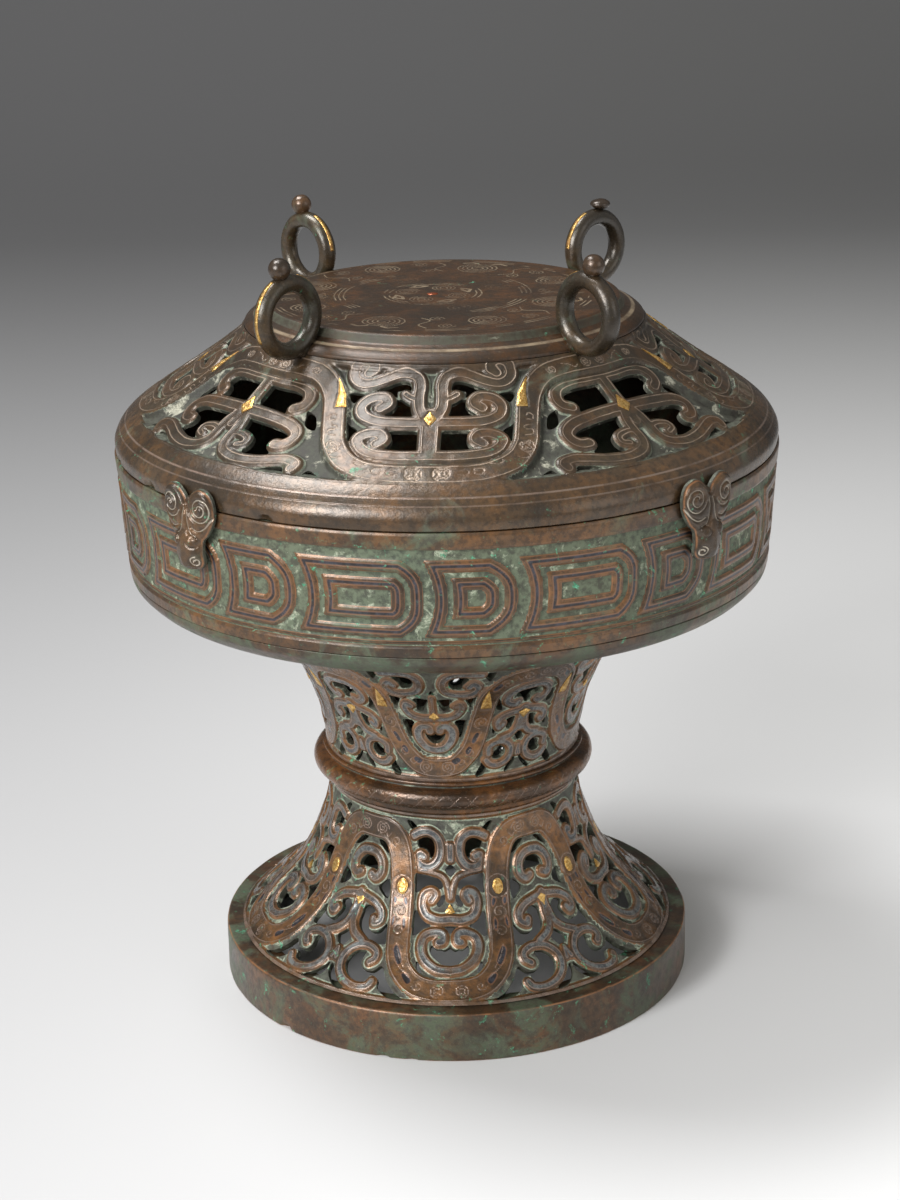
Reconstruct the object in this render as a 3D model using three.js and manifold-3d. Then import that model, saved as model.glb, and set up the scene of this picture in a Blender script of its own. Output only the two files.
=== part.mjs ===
// A lidded bronze ritual vessel on a tall pierced foot, in millimetres, +Z up.
// The origin is the centre of the foot ring's standing face, and the front is -Y.
// Lid: a flat roundel, a pierced slope with an undulating strap, a plain rim, four fixed rings, four clasps.
// Bowl: shallow and straight walled. Foot: a pierced neck, a rope collar, a pierced skirt and a standing ring.

import * as THREE from 'three';
import { mergeVertices } from 'three/addons/utils/BufferGeometryUtils.js';
import Module from 'manifold-3d';

const wasm = await Module();
wasm.setup();

// Clearances
const seatGap = 0.3; // between pieces that seat on or in one another
const claspGap = 0.8; // between a hanging clasp and the bowl's wall

// Standing ring at the bottom
const footRadius = 92.3;
const footHeight = 19.6;
const footWall = 5;
const footLedgeThickness = 4;
const footEdgeRound = 1.2;

// Pierced skirt of the foot
const skirtBaseRadius = 85.8;
const skirtTopRadius = 48.6;
const skirtHeight = 61;
const skirtWall = 3.2;
const footLedgeMargin = 7.8; // of the ring's ledge inwards from the skirt's foot
const skirtSweep = [[0, 0], [0.2, 0.054], [0.47, 0.228], [0.64, 0.384], [0.8, 0.65], [1, 1]]; // down, outwards

// Rope collar between skirt and neck
const collarHeight = 13.4;
const collarBoreRadius = 45;
const collarBandRadius = 49.8;
const collarBandHeight = 2.8;
const collarRopeRadius = 4; // of the rope's own section
const collarRopeRingRadius = 50.8; // from the axis to the middle of the rope
const collarLipRadius = 51;
const collarLipHeight = 1.4;
const collarHollow = 1.2; // of the neck between rope and lip

// Pierced neck of the foot
const neckBaseRadius = 49.4;
const neckTopRadius = 75.5;
const neckHeight = 63.6;
const neckWall = 3.2;
const neckSweep = [[0, 0], [0.14, 0.054], [0.33, 0.165], [0.52, 0.356], [0.71, 0.628], [1, 1]]; // up, outwards

// Bowl
const bowlRadius = 125;
const bowlTaper = 3.6; // how much the wall draws in from the rim to the lower corner
const bowlDepth = 58; // from the rim down to the seat on the neck
const bowlWall = 3.6;
const bowlFloor = 4.5;
const bowlSeatMargin = 2; // of the flat seat beyond the neck's top
const bowlUndersideRise = 5; // from the seat out to the lower corner
const bowlCornerRound = 5;
const bowlBandTop = 6; // from the rim down to the sunk frieze
const bowlBandBottom = 41; // from the rim down to the frieze's lower edge
const bowlBandSink = 1;

// Frieze in the bowl's sunk band: large and small units in turn, each a closed ridge round a smaller one
const friezeRepeats = 10;
const friezeRidgeWidth = 4;
const friezeRidgeRoot = 0.5; // sunk into the band's ground

// Lid
const lidOverhang = 0.4; // how much the lid's edge draws in from the bowl's
const lidLipHeight = 4.1;
const lidShoulderRound = 7;
const lidShoulderTurn = 55; // degrees of the shoulder's arc, from the upright lip to the slope
const lidRimSlant = 6.6; // of the plain rim above the shoulder, down to it from the pierced slope
const lidWall = 3.4;
const lidSeatWidth = 9; // of the flat face that rests on the bowl's rim
const lidSlopeDrop = 30.8; // of the pierced slope
const lidSlopeRun = 41.7;
const lidSlopeSag = 1.2; // how far the slope hollows in its middle
const roundelBandHeight = 8.2;
const roundelWall = 3.2;
const roundelBevelRun = 9; // of the bevel between the flat top and the side band
const roundelBevelDrop = 4.4;
const lidLipDraw = 0.3; // how much the lip draws in at its lower edge

// Strap that waves up and down round each pierced wall
const strapRise = 0.8; // above the scrolls beside it
const strapRoot = 0.6; // sunk into the wall
const recessDepth = 1.6; // of the ground between the lid's scrolls
const strapSteps = 5; // in half a wave
const lidStrapWidth = 8;
const neckStrapWidth = 9.2;
const skirtStrapWidth = 10.4;

// Gold set into sunk beds
const goldThickness = 0.9;
const throughCut = 2.5; // how far a cut runs on past a wall's faces

// Ring handles
const ringRadius = 12; // from the ring's centre to the middle of its rod
const ringRodRadius = 3.2;
const ringOut = 5.5; // of the ring's centre beyond the roundel's edge
const ringLift = 5.7; // of the ring's centre over the roundel's top
const ringKnobRadius = 4.1;
const ringKnobLean = 10; // degrees outwards from the ring's top
const ringKnobSink = 1.2; // into the ring's rod
const ringFootRadius = 3;
const ringFootBaseRadius = 3.9;
const ringTurns = [-6.5, -3, -3.5, 2]; // degrees off an even spread, as the old rings stand

// Mask clasps
const claspWidth = 25.5;
const claspHeight = 30;
const claspDrop = 22; // below the lid's seat
const claspThickness = 3.4;
const claspEdgeThickness = 2;
const claspCrown = 0.82; // size of the raised middle against the whole outline
const claspSnoutWidth = 10.2;
const claspSnoutHeight = 15.6;
const claspSnoutReach = 5.4; // out of the clasp's back
const claspLugWidth = 9;
const claspLugSink = 0.4; // into the clasp's back

// Turns of the patterns about the axis, in degrees, and how often each repeats
const lidTurn = -3.5;
const claspTurn = 45;
const neckTurn = -7;
const skirtTurn = -2.3;
const friezeTurn = -25; // of the left side of a large unit
const lidRepeats = 4;
const footRepeats = 5;

// Grid of each pierced wall's drawing: a column is about one degree and a row about one millimetre of slant
const lidDrawingColumns = 45;
const lidDrawingRows = 52;
const footDrawingColumns = 36;
const neckDrawingRows = 70;
const skirtDrawingRows = 75;
const friezeDrawingColumns = 36; // for one large and one small unit
const friezeDrawingRows = 35;

// Facets
const plainSegments = 36; // of the pieces without piercings
const friezeSegments = 4 * friezeRepeats; // of the bowl
const slopeSegments = 32;
const slopeSteps = 3;
const collarSegments = 30;
const footSegments = 30; // of the pierced skirt and neck
const sweepSteps = 4; // down the skirt and up the neck

const rad = THREE.MathUtils.degToRad;

// Heights of the stack, each piece seated on the one below
const skirtBaseZ = footHeight + seatGap;
const collarBaseZ = skirtBaseZ + skirtHeight + seatGap;
const neckBaseZ = collarBaseZ + collarHeight + seatGap;
const bowlBaseZ = neckBaseZ + neckHeight + seatGap;
const bowlRimZ = bowlBaseZ + bowlDepth;
const lidBaseZ = bowlRimZ + seatGap;
const lidRadius = bowlRadius - lidOverhang;

// The outer line of one wall in the plane through the axis, measured along its slant from its upper edge.
class WallLine {
  constructor(points) {
    this.points = points;
    this.lengths = [0];
    for (let i = 1; i < points.length; i += 1) {
      this.lengths.push(this.lengths[i - 1] + points[i].distanceTo(points[i - 1]));
    }
    this.length = this.lengths[points.length - 1];
  }

  // The point at a share of the slant, moved square to the wall by an offset.
  at(share, offset = 0) {
    const wanted = THREE.MathUtils.clamp(share, 0, 1) * this.length;
    let i = 1;
    while (i < this.points.length - 1 && this.lengths[i] < wanted) i += 1;
    const [a, b] = [this.points[i - 1], this.points[i]];
    const t = (wanted - this.lengths[i - 1]) / (this.lengths[i] - this.lengths[i - 1]);
    const along = new THREE.Vector2().subVectors(b, a).normalize();
    const square = new THREE.Vector2(-along.y, along.x).multiplyScalar(offset);
    return new THREE.Vector2().lerpVectors(a, b, t).add(square);
  }

  // The wall's closed section: down the outside and back up the inside, level at both ends.
  section(wall) {
    const last = this.points.length - 1;
    const inside = this.points.map((point, i) => {
      const [before, after] = [this.points[Math.max(i - 1, 0)], this.points[Math.min(i + 1, last)]];
      const along = new THREE.Vector2().subVectors(after, before);
      return new THREE.Vector2(point.x - wall * along.length() / -along.y, point.y);
    });
    return [...this.points, ...inside.reverse()];
  }
}

// Points down a wall that spreads in a smooth curve. The sweep's pairs are shares of its run and of its spread.
function sweepPoints(sweep, steps, place) {
  const curve = new THREE.SplineCurve(sweep.map(([run, spread]) => new THREE.Vector2(run, spread)));
  return Array.from({ length: steps + 1 }, (_, i) => place(curve.getPoint(i / steps)));
}

// A point on a wall: an angle from the front, a share of the slant and an offset outwards.
function onWall(line, angle, share, offset) {
  const p = line.at(share, offset);
  return new THREE.Vector3(p.x * Math.sin(angle), -p.x * Math.cos(angle), p.y);
}

// Turns a closed triangle mesh into a solid, whichever way its faces were wound.
function solidOf(positions, triangles) {
  const build = (list) => new wasm.Manifold(new wasm.Mesh({
    numProp: 3,
    vertProperties: new Float32Array(positions),
    triVerts: new Uint32Array(list),
  }));
  const made = build(triangles);
  if (made.volume() > 0) return made;
  const turned = [];
  for (let i = 0; i < triangles.length; i += 3) turned.push(triangles[i], triangles[i + 2], triangles[i + 1]);
  return build(turned);
}

function solidOfGeometry(geometry) {
  geometry.deleteAttribute('normal');
  geometry.deleteAttribute('uv');
  const merged = mergeVertices(geometry, 1e-4);
  return solidOf(merged.attributes.position.array, merged.index.array);
}

// Turns a section about the axis.
function revolve(section, segments, turn = 0) {
  const touchesAxis = section[0].x === 0;
  const geometry = new THREE.LatheGeometry(touchesAxis ? section : [...section, section[0]], segments);
  geometry.rotateX(Math.PI / 2);
  geometry.rotateZ(rad(turn));
  return solidOfGeometry(geometry);
}

// A solid between loops of points, the first and the last of them closed by flat caps.
function loft(loops, capShape) {
  const count = capShape.length;
  const positions = loops.flat().flatMap((p) => [p.x, p.y, p.z]);
  const triangles = [];
  for (let level = 0; level < loops.length - 1; level += 1) {
    for (let i = 0; i < count; i += 1) {
      const a = level * count + i;
      const b = level * count + (i + 1) % count;
      triangles.push(a, b, b + count, a, b + count, a + count);
    }
  }
  const last = (loops.length - 1) * count;
  for (const [a, b, c] of THREE.ShapeUtils.triangulateShape(capShape, [])) {
    triangles.push(c, b, a, last + a, last + b, last + c);
  }
  return solidOf(positions, triangles);
}

// An outline laid flat: distances along the wall from its own first point, and down the slant.
function flatten(line, outline) {
  const [start] = outline[0];
  return outline.map(([angle, share]) => {
    const across = (angle - start) * line.at(share).x;
    return new THREE.Vector2(across, share * line.length);
  });
}

// An outline laid on a wall and carried straight through it, from one offset to another.
function plug(line, outline, from, to) {
  const flat = flatten(line, outline);
  const middle = [0, 1].map((axis) => outline.reduce((sum, point) => sum + point[axis] / outline.length, 0));
  const square = new THREE.Vector3().subVectors(onWall(line, ...middle, 1), onWall(line, ...middle, 0));
  const loops = [from, to].map((offset) => outline.map(
    ([angle, share]) => onWall(line, angle, share, 0).addScaledVector(square, offset),
  ));
  if (!THREE.ShapeUtils.isClockWise(flat)) return loft(loops, flat);
  return loft(loops.map((loop) => loop.reverse()), flat.reverse());
}

// Moves each corner of an outline outwards, so that its sides stand off by a gap measured on the wall.
function grown(line, outline, gap) {
  const flat = flatten(line, outline);
  const sense = THREE.ShapeUtils.isClockWise(flat) ? -1 : 1;
  return outline.map(([angle, share], i) => {
    const before = flat[(i + flat.length - 1) % flat.length];
    const after = flat[(i + 1) % flat.length];
    const inward = new THREE.Vector2().subVectors(flat[i], before).normalize();
    const outward = new THREE.Vector2().subVectors(after, flat[i]).normalize();
    const normal = new THREE.Vector2(inward.y + outward.y, -inward.x - outward.x).normalize();
    const reach = sense * gap / Math.max(0.4, normal.x * inward.y - normal.y * inward.x);
    return [angle + normal.x * reach / line.at(share).x, share + normal.y * reach / line.length];
  });
}

// A closed band laid on a wall along its middle points, from one offset to another. Mitred, it keeps its
// width round sharp corners.
function closedBand(line, centres, width, top, root, mitred) {
  const count = centres.length;
  const positions = [];
  const triangles = [];
  centres.forEach(([angle, share], i) => {
    const radius = line.at(share).x;
    const step = ([toAngle, toShare], [fromAngle, fromShare]) => {
      const turned = Math.atan2(Math.sin(toAngle - fromAngle), Math.cos(toAngle - fromAngle));
      return new THREE.Vector2(turned * radius, (toShare - fromShare) * line.length).normalize();
    };
    const before = step(centres[i], centres[(i + count - 1) % count]);
    const after = step(centres[(i + 1) % count], centres[i]);
    const along = new THREE.Vector2().addVectors(before, after).normalize();
    const reach = width / 2 / (mitred ? along.dot(after) : 1);
    for (const [side, offset] of [[1, top], [-1, top], [-1, root], [1, root]]) {
      const edgeAngle = angle + side * -along.y * reach / radius;
      const edgeShare = share + side * along.x * reach / line.length;
      positions.push(...onWall(line, edgeAngle, edgeShare, offset).toArray());
    }
    for (let corner = 0; corner < 4; corner += 1) {
      const a = i * 4 + corner;
      const b = i * 4 + (corner + 1) % 4;
      const nextA = ((i + 1) % count) * 4 + corner;
      const nextB = ((i + 1) % count) * 4 + (corner + 1) % 4;
      triangles.push(a, b, nextB, a, nextB, nextA);
    }
  });
  return solidOf(positions, triangles);
}

// One pierced wall. Its drawing covers half a repeat: from the middle of a trough of the strap, at 0,
// to the middle of the next crest, at the drawing's width. Drawings run down from the wall's upper edge.
class PiercedWall {
  constructor({ line, wall, repeats, turn, segments, width, height }) {
    Object.assign(this, { line, wall, repeats, turn: rad(turn), segments, width, height });
    this.halfAngle = Math.PI / repeats;
  }

  // The angle and share of a drawing point, in the half repeat of that number. Odd halves are mirrored.
  place([u, v], half) {
    const across = half % 2 ? this.width - u : u;
    return [this.turn + (half + across / this.width) * this.halfAngle, v / this.height];
  }

  // The same outline in every half repeat.
  everywhere(points) {
    const halves = Array.from({ length: 2 * this.repeats }, (_, half) => half);
    return halves.map((half) => points.map((point) => this.place(point, half)));
  }

  // A shape that is whole about the middle of a trough or a crest, given by its half on one side of it.
  aboutMiddle(points, middle) {
    const first = middle > 0 ? 1 : 0;
    return Array.from({ length: this.repeats }, (_, i) => {
      const half = 2 * i + first;
      const axis = this.turn + half * this.halfAngle;
      const sided = points.map(([across, v]) => [first ? middle - across : across, v]);
      const near = sided.map((point) => this.place(point, half - first));
      const far = near.map(([angle, share]) => [2 * axis - angle, share]).reverse();
      const offAxis = far.filter(([angle]) => Math.abs(angle - axis) > 1e-6);
      return [...near, ...offAxis];
    });
  }

  // The prisms that cut outlines right through the wall.
  cut(outlines) {
    const [from, to] = [strapRise + throughCut, -this.wall - throughCut];
    return outlines.map((outline) => plug(this.line, outline, from, to));
  }

  // The prisms that sink outlines into the wall without piercing it.
  sink(outlines) {
    return outlines.map((outline) => plug(this.line, outline, throughCut, -recessDepth));
  }

  // The strap: one closed band that waves between the wall's edges.
  strap(middleLine, width) {
    const curve = new THREE.CatmullRomCurve3(middleLine.map(([u, v]) => new THREE.Vector3(u, v, 0)));
    const centres = [];
    for (let half = 0; half < 2 * this.repeats; half += 1) {
      for (let i = 0; i < strapSteps; i += 1) {
        const t = half % 2 ? 1 - i / strapSteps : i / strapSteps;
        const p = curve.getPointAt(t);
        centres.push(this.place([p.x, p.y], half));
      }
    }
    return closedBand(this.line, centres, width, strapRise, -strapRoot, false);
  }

  // The wall with its strap, its piercings and the beds for its gold.
  build(strap, piercings, beds) {
    const shell = revolve(this.line.section(this.wall), this.segments, THREE.MathUtils.radToDeg(this.turn));
    const cuts = wasm.Manifold.union([...this.cut(piercings), ...beds]);
    return shell.add(strap).subtract(cuts);
  }

  // Gold pieces and their beds. Each lies flush with the strap or with the scrolls.
  gold(outlines, level) {
    return outlines.map((outline) => ({
      piece: plug(this.line, outline, level, level - goldThickness),
      bed: plug(
        this.line,
        grown(this.line, outline, seatGap),
        level + throughCut,
        level - goldThickness - seatGap,
      ),
    }));
  }
}

// Round outline for a gold oval: middle, half width and half height in drawing units.
function oval([u, v], halfWidth, halfHeight, corners = 6) {
  return Array.from({ length: corners }, (_, i) => {
    const t = 2 * Math.PI * i / corners;
    return [u + halfWidth * Math.cos(t), v + halfHeight * Math.sin(t)];
  });
}

// Colours and surfaces
const bronze = (color, roughness) => new THREE.MeshStandardMaterial({ color, roughness, metalness: 0.85 });
const brownBronze = bronze(0x5a4334, 0.42);
const greenBronze = bronze(0x4b5145, 0.6);
const darkBronze = bronze(0x3a3029, 0.4);
const goldLeaf = new THREE.MeshStandardMaterial({ color: 0xd9a441, roughness: 0.3, metalness: 1 });

const vessel = new THREE.Group();
const lid = new THREE.Group();
vessel.add(lid);

function addPiece(group, name, solid, material) {
  const { vertProperties, triVerts, numProp } = solid.getMesh();
  const geometry = new THREE.BufferGeometry();
  const positions = new Float32Array(vertProperties.length / numProp * 3);
  for (let i = 0; i < positions.length / 3; i += 1) {
    positions.set(vertProperties.subarray(i * numProp, i * numProp + 3), i * 3);
  }
  geometry.setAttribute('position', new THREE.BufferAttribute(positions, 3));
  geometry.setIndex(new THREE.BufferAttribute(new Uint32Array(triVerts), 1));
  geometry.computeVertexNormals();
  const mesh = new THREE.Mesh(geometry, material);
  mesh.name = name;
  group.add(mesh);
  return mesh;
}

function addGold(group, name, pieces) {
  pieces.forEach(({ piece }, i) => addPiece(group, `${name}_${i + 1}`, piece, goldLeaf));
}

// Points along a round corner between two directions, given its centre.
function arc(centreX, centreY, radius, fromDegrees, toDegrees, steps) {
  return Array.from({ length: steps + 1 }, (_, i) => {
    const angle = rad(THREE.MathUtils.lerp(fromDegrees, toDegrees, i / steps));
    return new THREE.Vector2(centreX + radius * Math.cos(angle), centreY + radius * Math.sin(angle));
  });
}

// Standing ring: an upright band under a flat ledge.
function footRing() {
  const ledgeRadius = skirtBaseRadius - footLedgeMargin;
  const section = [
    new THREE.Vector2(footRadius, 0),
    ...arc(footRadius - footEdgeRound, footHeight - footEdgeRound, footEdgeRound, 0, 90, 2),
    new THREE.Vector2(ledgeRadius, footHeight),
    new THREE.Vector2(ledgeRadius, footHeight - footLedgeThickness),
    new THREE.Vector2(footRadius - footWall, footHeight - footLedgeThickness),
    new THREE.Vector2(footRadius - footWall, 0),
  ];
  return revolve(section, plainSegments);
}

// Pierced skirt: it spreads in a curve from under the collar to the standing ring.
const skirt = new PiercedWall({
  line: new WallLine(sweepPoints(skirtSweep, sweepSteps, (share) => new THREE.Vector2(
    THREE.MathUtils.lerp(skirtTopRadius, skirtBaseRadius, share.y) - strapRise,
    skirtBaseZ + skirtHeight * (1 - share.x),
  ))),
  wall: skirtWall,
  repeats: footRepeats,
  turn: skirtTurn,
  segments: footSegments,
  width: footDrawingColumns,
  height: skirtDrawingRows,
});

function skirtPieces() {
  const paired = [
    [[3, 26.4], [6.6, 24.2], [12.6, 23.6], [12.6, 30], [8, 27.6]], // over the trough's scroll
    [[7, 42], [12, 38.6], [11.6, 46.6], [9, 44]], // between scroll and strap
    [[27, 17.4], [29.2, 14.8], [33, 13.4], [29.6, 16.8]], // arched slit under the crest
    [[33, 41.6], [28.8, 40.4], [29.8, 46], [22.6, 44.8], [22.2, 51.6], [32.4, 47.4]], // mid hook
    [[31.2, 60], [27, 57], [26.4, 62.4], [20.2, 61.6], [13.6, 72.4], [22.6, 65.6], [28, 67.8]], // lower hook
    [[35.2, 64.8], [29.4, 72.2], [31.8, 72.2], [35, 68.6]], // beside the foot of the crest
  ];
  const piercings = [
    ...paired.flatMap((outline) => skirt.everywhere(outline)),
    ...skirt.aboutMiddle([[0, 51.6], [4.8, 50.8], [2.8, 56.8], [0, 58]], 0),
    ...skirt.aboutMiddle([[0, 20.4], [4.4, 24.4]], skirt.width),
  ];
  const ovals = skirt.gold(skirt.everywhere(oval([18.8, 29.2], 2.1, 3.1)), strapRise);
  const leaves = skirt.gold(skirt.aboutMiddle([[0, 34.8], [2.6, 36.6], [1, 39.2], [0, 41.6]], skirt.width), 0);
  const middleLine = [[0, 69.2], [4.5, 69], [9.5, 67], [13.6, 62], [15.8, 56], [17, 48], [18, 38], [18.8, 29],
    [19.6, 22], [21.4, 16], [24.5, 11], [29, 8.4], [36, 8.1]];
  const strap = skirt.strap(middleLine, skirtStrapWidth);
  const beds = [...ovals, ...leaves].map(({ bed }) => bed);
  addPiece(vessel, 'pedestal_skirt', skirt.build(strap, piercings, beds), brownBronze);
  addGold(vessel, 'skirt_gold_oval', ovals);
  addGold(vessel, 'skirt_gold_leaf', leaves);
}

// Rope collar: a plain band, the rope, a hollow and a thin lip.
function collar() {
  const ropeZ = collarBaseZ + collarBandHeight + collarRopeRadius;
  const lipZ = collarBaseZ + collarHeight;
  const section = [
    new THREE.Vector2(collarBoreRadius, collarBaseZ),
    new THREE.Vector2(collarBandRadius, collarBaseZ),
    new THREE.Vector2(collarBandRadius, collarBaseZ + collarBandHeight),
    ...arc(collarRopeRingRadius, ropeZ, collarRopeRadius, -80, 80, 5),
    new THREE.Vector2(collarLipRadius - collarHollow, lipZ - collarLipHeight - collarHollow),
    new THREE.Vector2(collarLipRadius, lipZ - collarLipHeight),
    new THREE.Vector2(collarLipRadius, lipZ),
    new THREE.Vector2(collarBoreRadius, lipZ),
  ];
  return revolve(section, collarSegments);
}

// Pierced neck: it spreads in a curve from the collar to the bowl's underside.
const neck = new PiercedWall({
  line: new WallLine(sweepPoints(neckSweep, sweepSteps, (share) => new THREE.Vector2(
    THREE.MathUtils.lerp(neckBaseRadius, neckTopRadius, share.y) - strapRise,
    neckBaseZ + neckHeight * share.x,
  )).reverse()),
  wall: neckWall,
  repeats: footRepeats,
  turn: neckTurn,
  segments: footSegments,
  width: footDrawingColumns,
  height: neckDrawingRows,
});

function neckPieces() {
  const paired = [
    [[6.2, 20.4], [8.2, 19], [11, 19.6], [9.4, 23.6]], // inside the trough's upper scroll
    [[3, 31.8], [6.2, 31.6], [5.2, 36.2]], // inside the middle scroll
    [[8.2, 44], [12, 43.2], [9.8, 50.6]], // under the middle scroll
    [[29.5, 45.4], [32.5, 44.6], [31.6, 48.8], [29.6, 47.8]], // inside the crest's curl
    [[24.6, 60.4], [27.4, 57.4], [30, 56.8], [29, 60.4]], // inside the lower scroll
    [[16.8, 66.8], [21.6, 61.6], [23.2, 62.2], [20, 67]], // along the strap's foot
  ];
  const piercings = [
    ...paired.flatMap((outline) => neck.everywhere(outline)),
    ...neck.aboutMiddle([[0, 49.5], [3.6, 49.4], [0, 53.2]], 0),
    ...neck.aboutMiddle([[0, 30], [4.6, 31.4], [0, 36.4]], neck.width),
  ];
  const drop = [[19.6, 26], [18, 32], [17.4, 36.4], [21.6, 36.6], [21, 32]];
  const drops = neck.gold(neck.everywhere(drop), strapRise);
  const middleLine = [[0, 64.2], [5, 63.8], [9.5, 62], [14.6, 56], [17, 49], [18.4, 41], [19.6, 33],
    [21.2, 27.5], [25, 22.5], [30, 20], [36, 19.4]];
  const strap = neck.strap(middleLine, neckStrapWidth);
  addPiece(vessel, 'pedestal_neck', neck.build(strap, piercings, drops.map(({ bed }) => bed)), brownBronze);
  addGold(vessel, 'neck_gold_drop', drops);
}

// Bowl: a flat seat, a spreading underside, a round lower corner and an upright wall with a sunk frieze.
function bowl() {
  const cornerRadius = bowlRadius - bowlTaper;
  const wallAt = (down) => bowlRadius - bowlTaper * down / bowlDepth;
  const cornerZ = bowlBaseZ + bowlUndersideRise + bowlCornerRound;
  const floorZ = bowlBaseZ + bowlFloor;
  const section = [
    new THREE.Vector2(0, bowlBaseZ),
    new THREE.Vector2(neckTopRadius + bowlSeatMargin, bowlBaseZ),
    ...arc(cornerRadius - bowlCornerRound, cornerZ, bowlCornerRound, -80, 0, 2),
    new THREE.Vector2(wallAt(bowlBandBottom), bowlRimZ - bowlBandBottom),
    new THREE.Vector2(wallAt(bowlBandBottom) - bowlBandSink, bowlRimZ - bowlBandBottom + bowlBandSink),
    new THREE.Vector2(wallAt(bowlBandTop) - bowlBandSink, bowlRimZ - bowlBandTop - bowlBandSink),
    new THREE.Vector2(wallAt(bowlBandTop), bowlRimZ - bowlBandTop),
    new THREE.Vector2(bowlRadius, bowlRimZ),
    new THREE.Vector2(bowlRadius - bowlWall, bowlRimZ),
    new THREE.Vector2(cornerRadius - bowlWall, cornerZ + bowlFloor),
    new THREE.Vector2(cornerRadius - bowlWall - bowlCornerRound, cornerZ - bowlCornerRound + bowlFloor),
    new THREE.Vector2(neckTopRadius, floorZ),
    new THREE.Vector2(0, floorZ),
  ];
  return revolve(section, friezeSegments).add(frieze(wallAt));
}

// The frieze's ridges, flush with the plain wall. Its drawing runs from the sunk band's top to its bottom.
function frieze(wallAt) {
  const line = new WallLine([bowlBandTop, bowlBandBottom].map(
    (down) => new THREE.Vector2(wallAt(down), bowlRimZ - down),
  ));
  const ridges = [
    [[1.3, 6], [7, 6], [16.4, 6], [19.6, 17.8], [16, 29.8], [7, 29.8], [1.5, 29.8], [2.6, 18]],
    [[4.9, 12.4], [14.8, 12.4], [16, 18], [14.6, 23.4], [4.9, 23.4]],
    [[22, 6], [31.4, 6], [34.2, 17.6], [30.8, 29.8], [21.9, 29.8], [23.3, 18]],
    [[26, 12.4], [30.2, 12.4], [30, 23.4], [26, 23.4]],
  ];
  const period = 2 * Math.PI / friezeRepeats;
  const bands = Array.from({ length: friezeRepeats }, (_, i) => ridges.map((ridge) => {
    const centres = ridge.map(([u, v]) => [
      rad(friezeTurn) + (i + u / friezeDrawingColumns) * period,
      v / friezeDrawingRows,
    ]);
    return closedBand(line, centres, friezeRidgeWidth, 0, -bowlBandSink - friezeRidgeRoot, true);
  }));
  return wasm.Manifold.union(bands.flat());
}

// Lid slope: its outer line from the roundel's edge down to the plain rim.
const shoulderMiddle = new THREE.Vector2(lidRadius - lidShoulderRound, lidBaseZ + lidLipHeight);
const shoulderTurn = rad(lidShoulderTurn);
const slopeBase = new THREE.Vector2(
  shoulderMiddle.x + lidShoulderRound * Math.cos(shoulderTurn) - lidRimSlant * Math.sin(shoulderTurn),
  shoulderMiddle.y + lidShoulderRound * Math.sin(shoulderTurn) + lidRimSlant * Math.cos(shoulderTurn),
);
const slopeTop = new THREE.Vector2(slopeBase.x - lidSlopeRun, slopeBase.y + seatGap + lidSlopeDrop);
const roundelTopZ = slopeTop.y + seatGap + roundelBandHeight;

const slope = new PiercedWall({
  line: new WallLine(Array.from({ length: slopeSteps + 1 }, (_, i) => {
    const share = i / slopeSteps;
    const sag = lidSlopeSag * Math.sin(Math.PI * share);
    const x = THREE.MathUtils.lerp(slopeTop.x, slopeBase.x - strapRise / Math.cos(shoulderTurn), share);
    return new THREE.Vector2(x, slopeTop.y - lidSlopeDrop * share - sag);
  })),
  wall: lidWall,
  repeats: lidRepeats,
  turn: lidTurn,
  segments: slopeSegments,
  width: lidDrawingColumns,
  height: lidDrawingRows,
});

function slopePieces() {
  const paired = [
    [[5.2, 7.6], [6.8, 5.9], [12.2, 9.6], [11.4, 12.4], [8.6, 12.6]], // inside the upper hook
    [[4, 15.2], [7.6, 14.6], [12, 20.8], [5.4, 21]], // inside the middle scroll
    [[2.8, 28.4], [7.4, 28.2], [10.8, 35.8], [4.2, 36]], // inside the lower scroll
    [[42.2, 15], [38, 13.2], [34.2, 15], [32.2, 17.8], [34.2, 23.2], [41.4, 21.6]], // the crest's upper hook
    [[41.2, 29.6], [36.2, 28], [29.6, 33], [32.2, 36.2], [33.6, 44.2], [36.6, 44.2], [37, 36.6]], // its lower hook
    [[28, 22.6], [26.4, 23.8], [25.4, 28.2], [27, 27.2]], // between scrolls and strap
  ];
  const piercings = paired.flatMap((outline) => slope.everywhere(outline));
  const recesses = slope.sink([
    ...slope.everywhere([[22.8, 29.6], [26.2, 30.4], [25, 39.6], [21.8, 38.6]]), // outside the crest's hook
    ...slope.aboutMiddle([[0, 1.2], [3.2, 1.4], [0, 10.6]], 0), // between the trough's two upper hooks
  ]);
  const leaf = [[24.2, 6.6], [22.4, 13.4], [21.8, 19.4], [19.2, 19], [20.4, 13.6], [22.6, 9.2]];
  const leaves = slope.gold(slope.everywhere(leaf), strapRise);
  const lozenges = slope.gold([
    ...slope.aboutMiddle([[0, 19], [1.4, 22.2], [0, 25.2]], 0),
    ...slope.aboutMiddle([[0, 20.2], [1.8, 25.2], [0, 28.2]], slope.width),
  ], 0);
  const middleLine = [[0, 47.2], [9.5, 46.5], [15.2, 42.6], [18.4, 36], [20, 29], [21.6, 21], [23.4, 14.5],
    [26, 9.6], [30, 6], [36, 4.7], [45, 4.6]];
  const strap = slope.strap(middleLine, lidStrapWidth);
  const beds = [...leaves, ...lozenges].map(({ bed }) => bed);
  addPiece(lid, 'lid_openwork', slope.build(strap, piercings, [...beds, ...recesses]), brownBronze);
  addGold(lid, 'lid_gold_leaf', leaves);
  addGold(lid, 'lid_gold_lozenge', lozenges);
}

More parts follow.
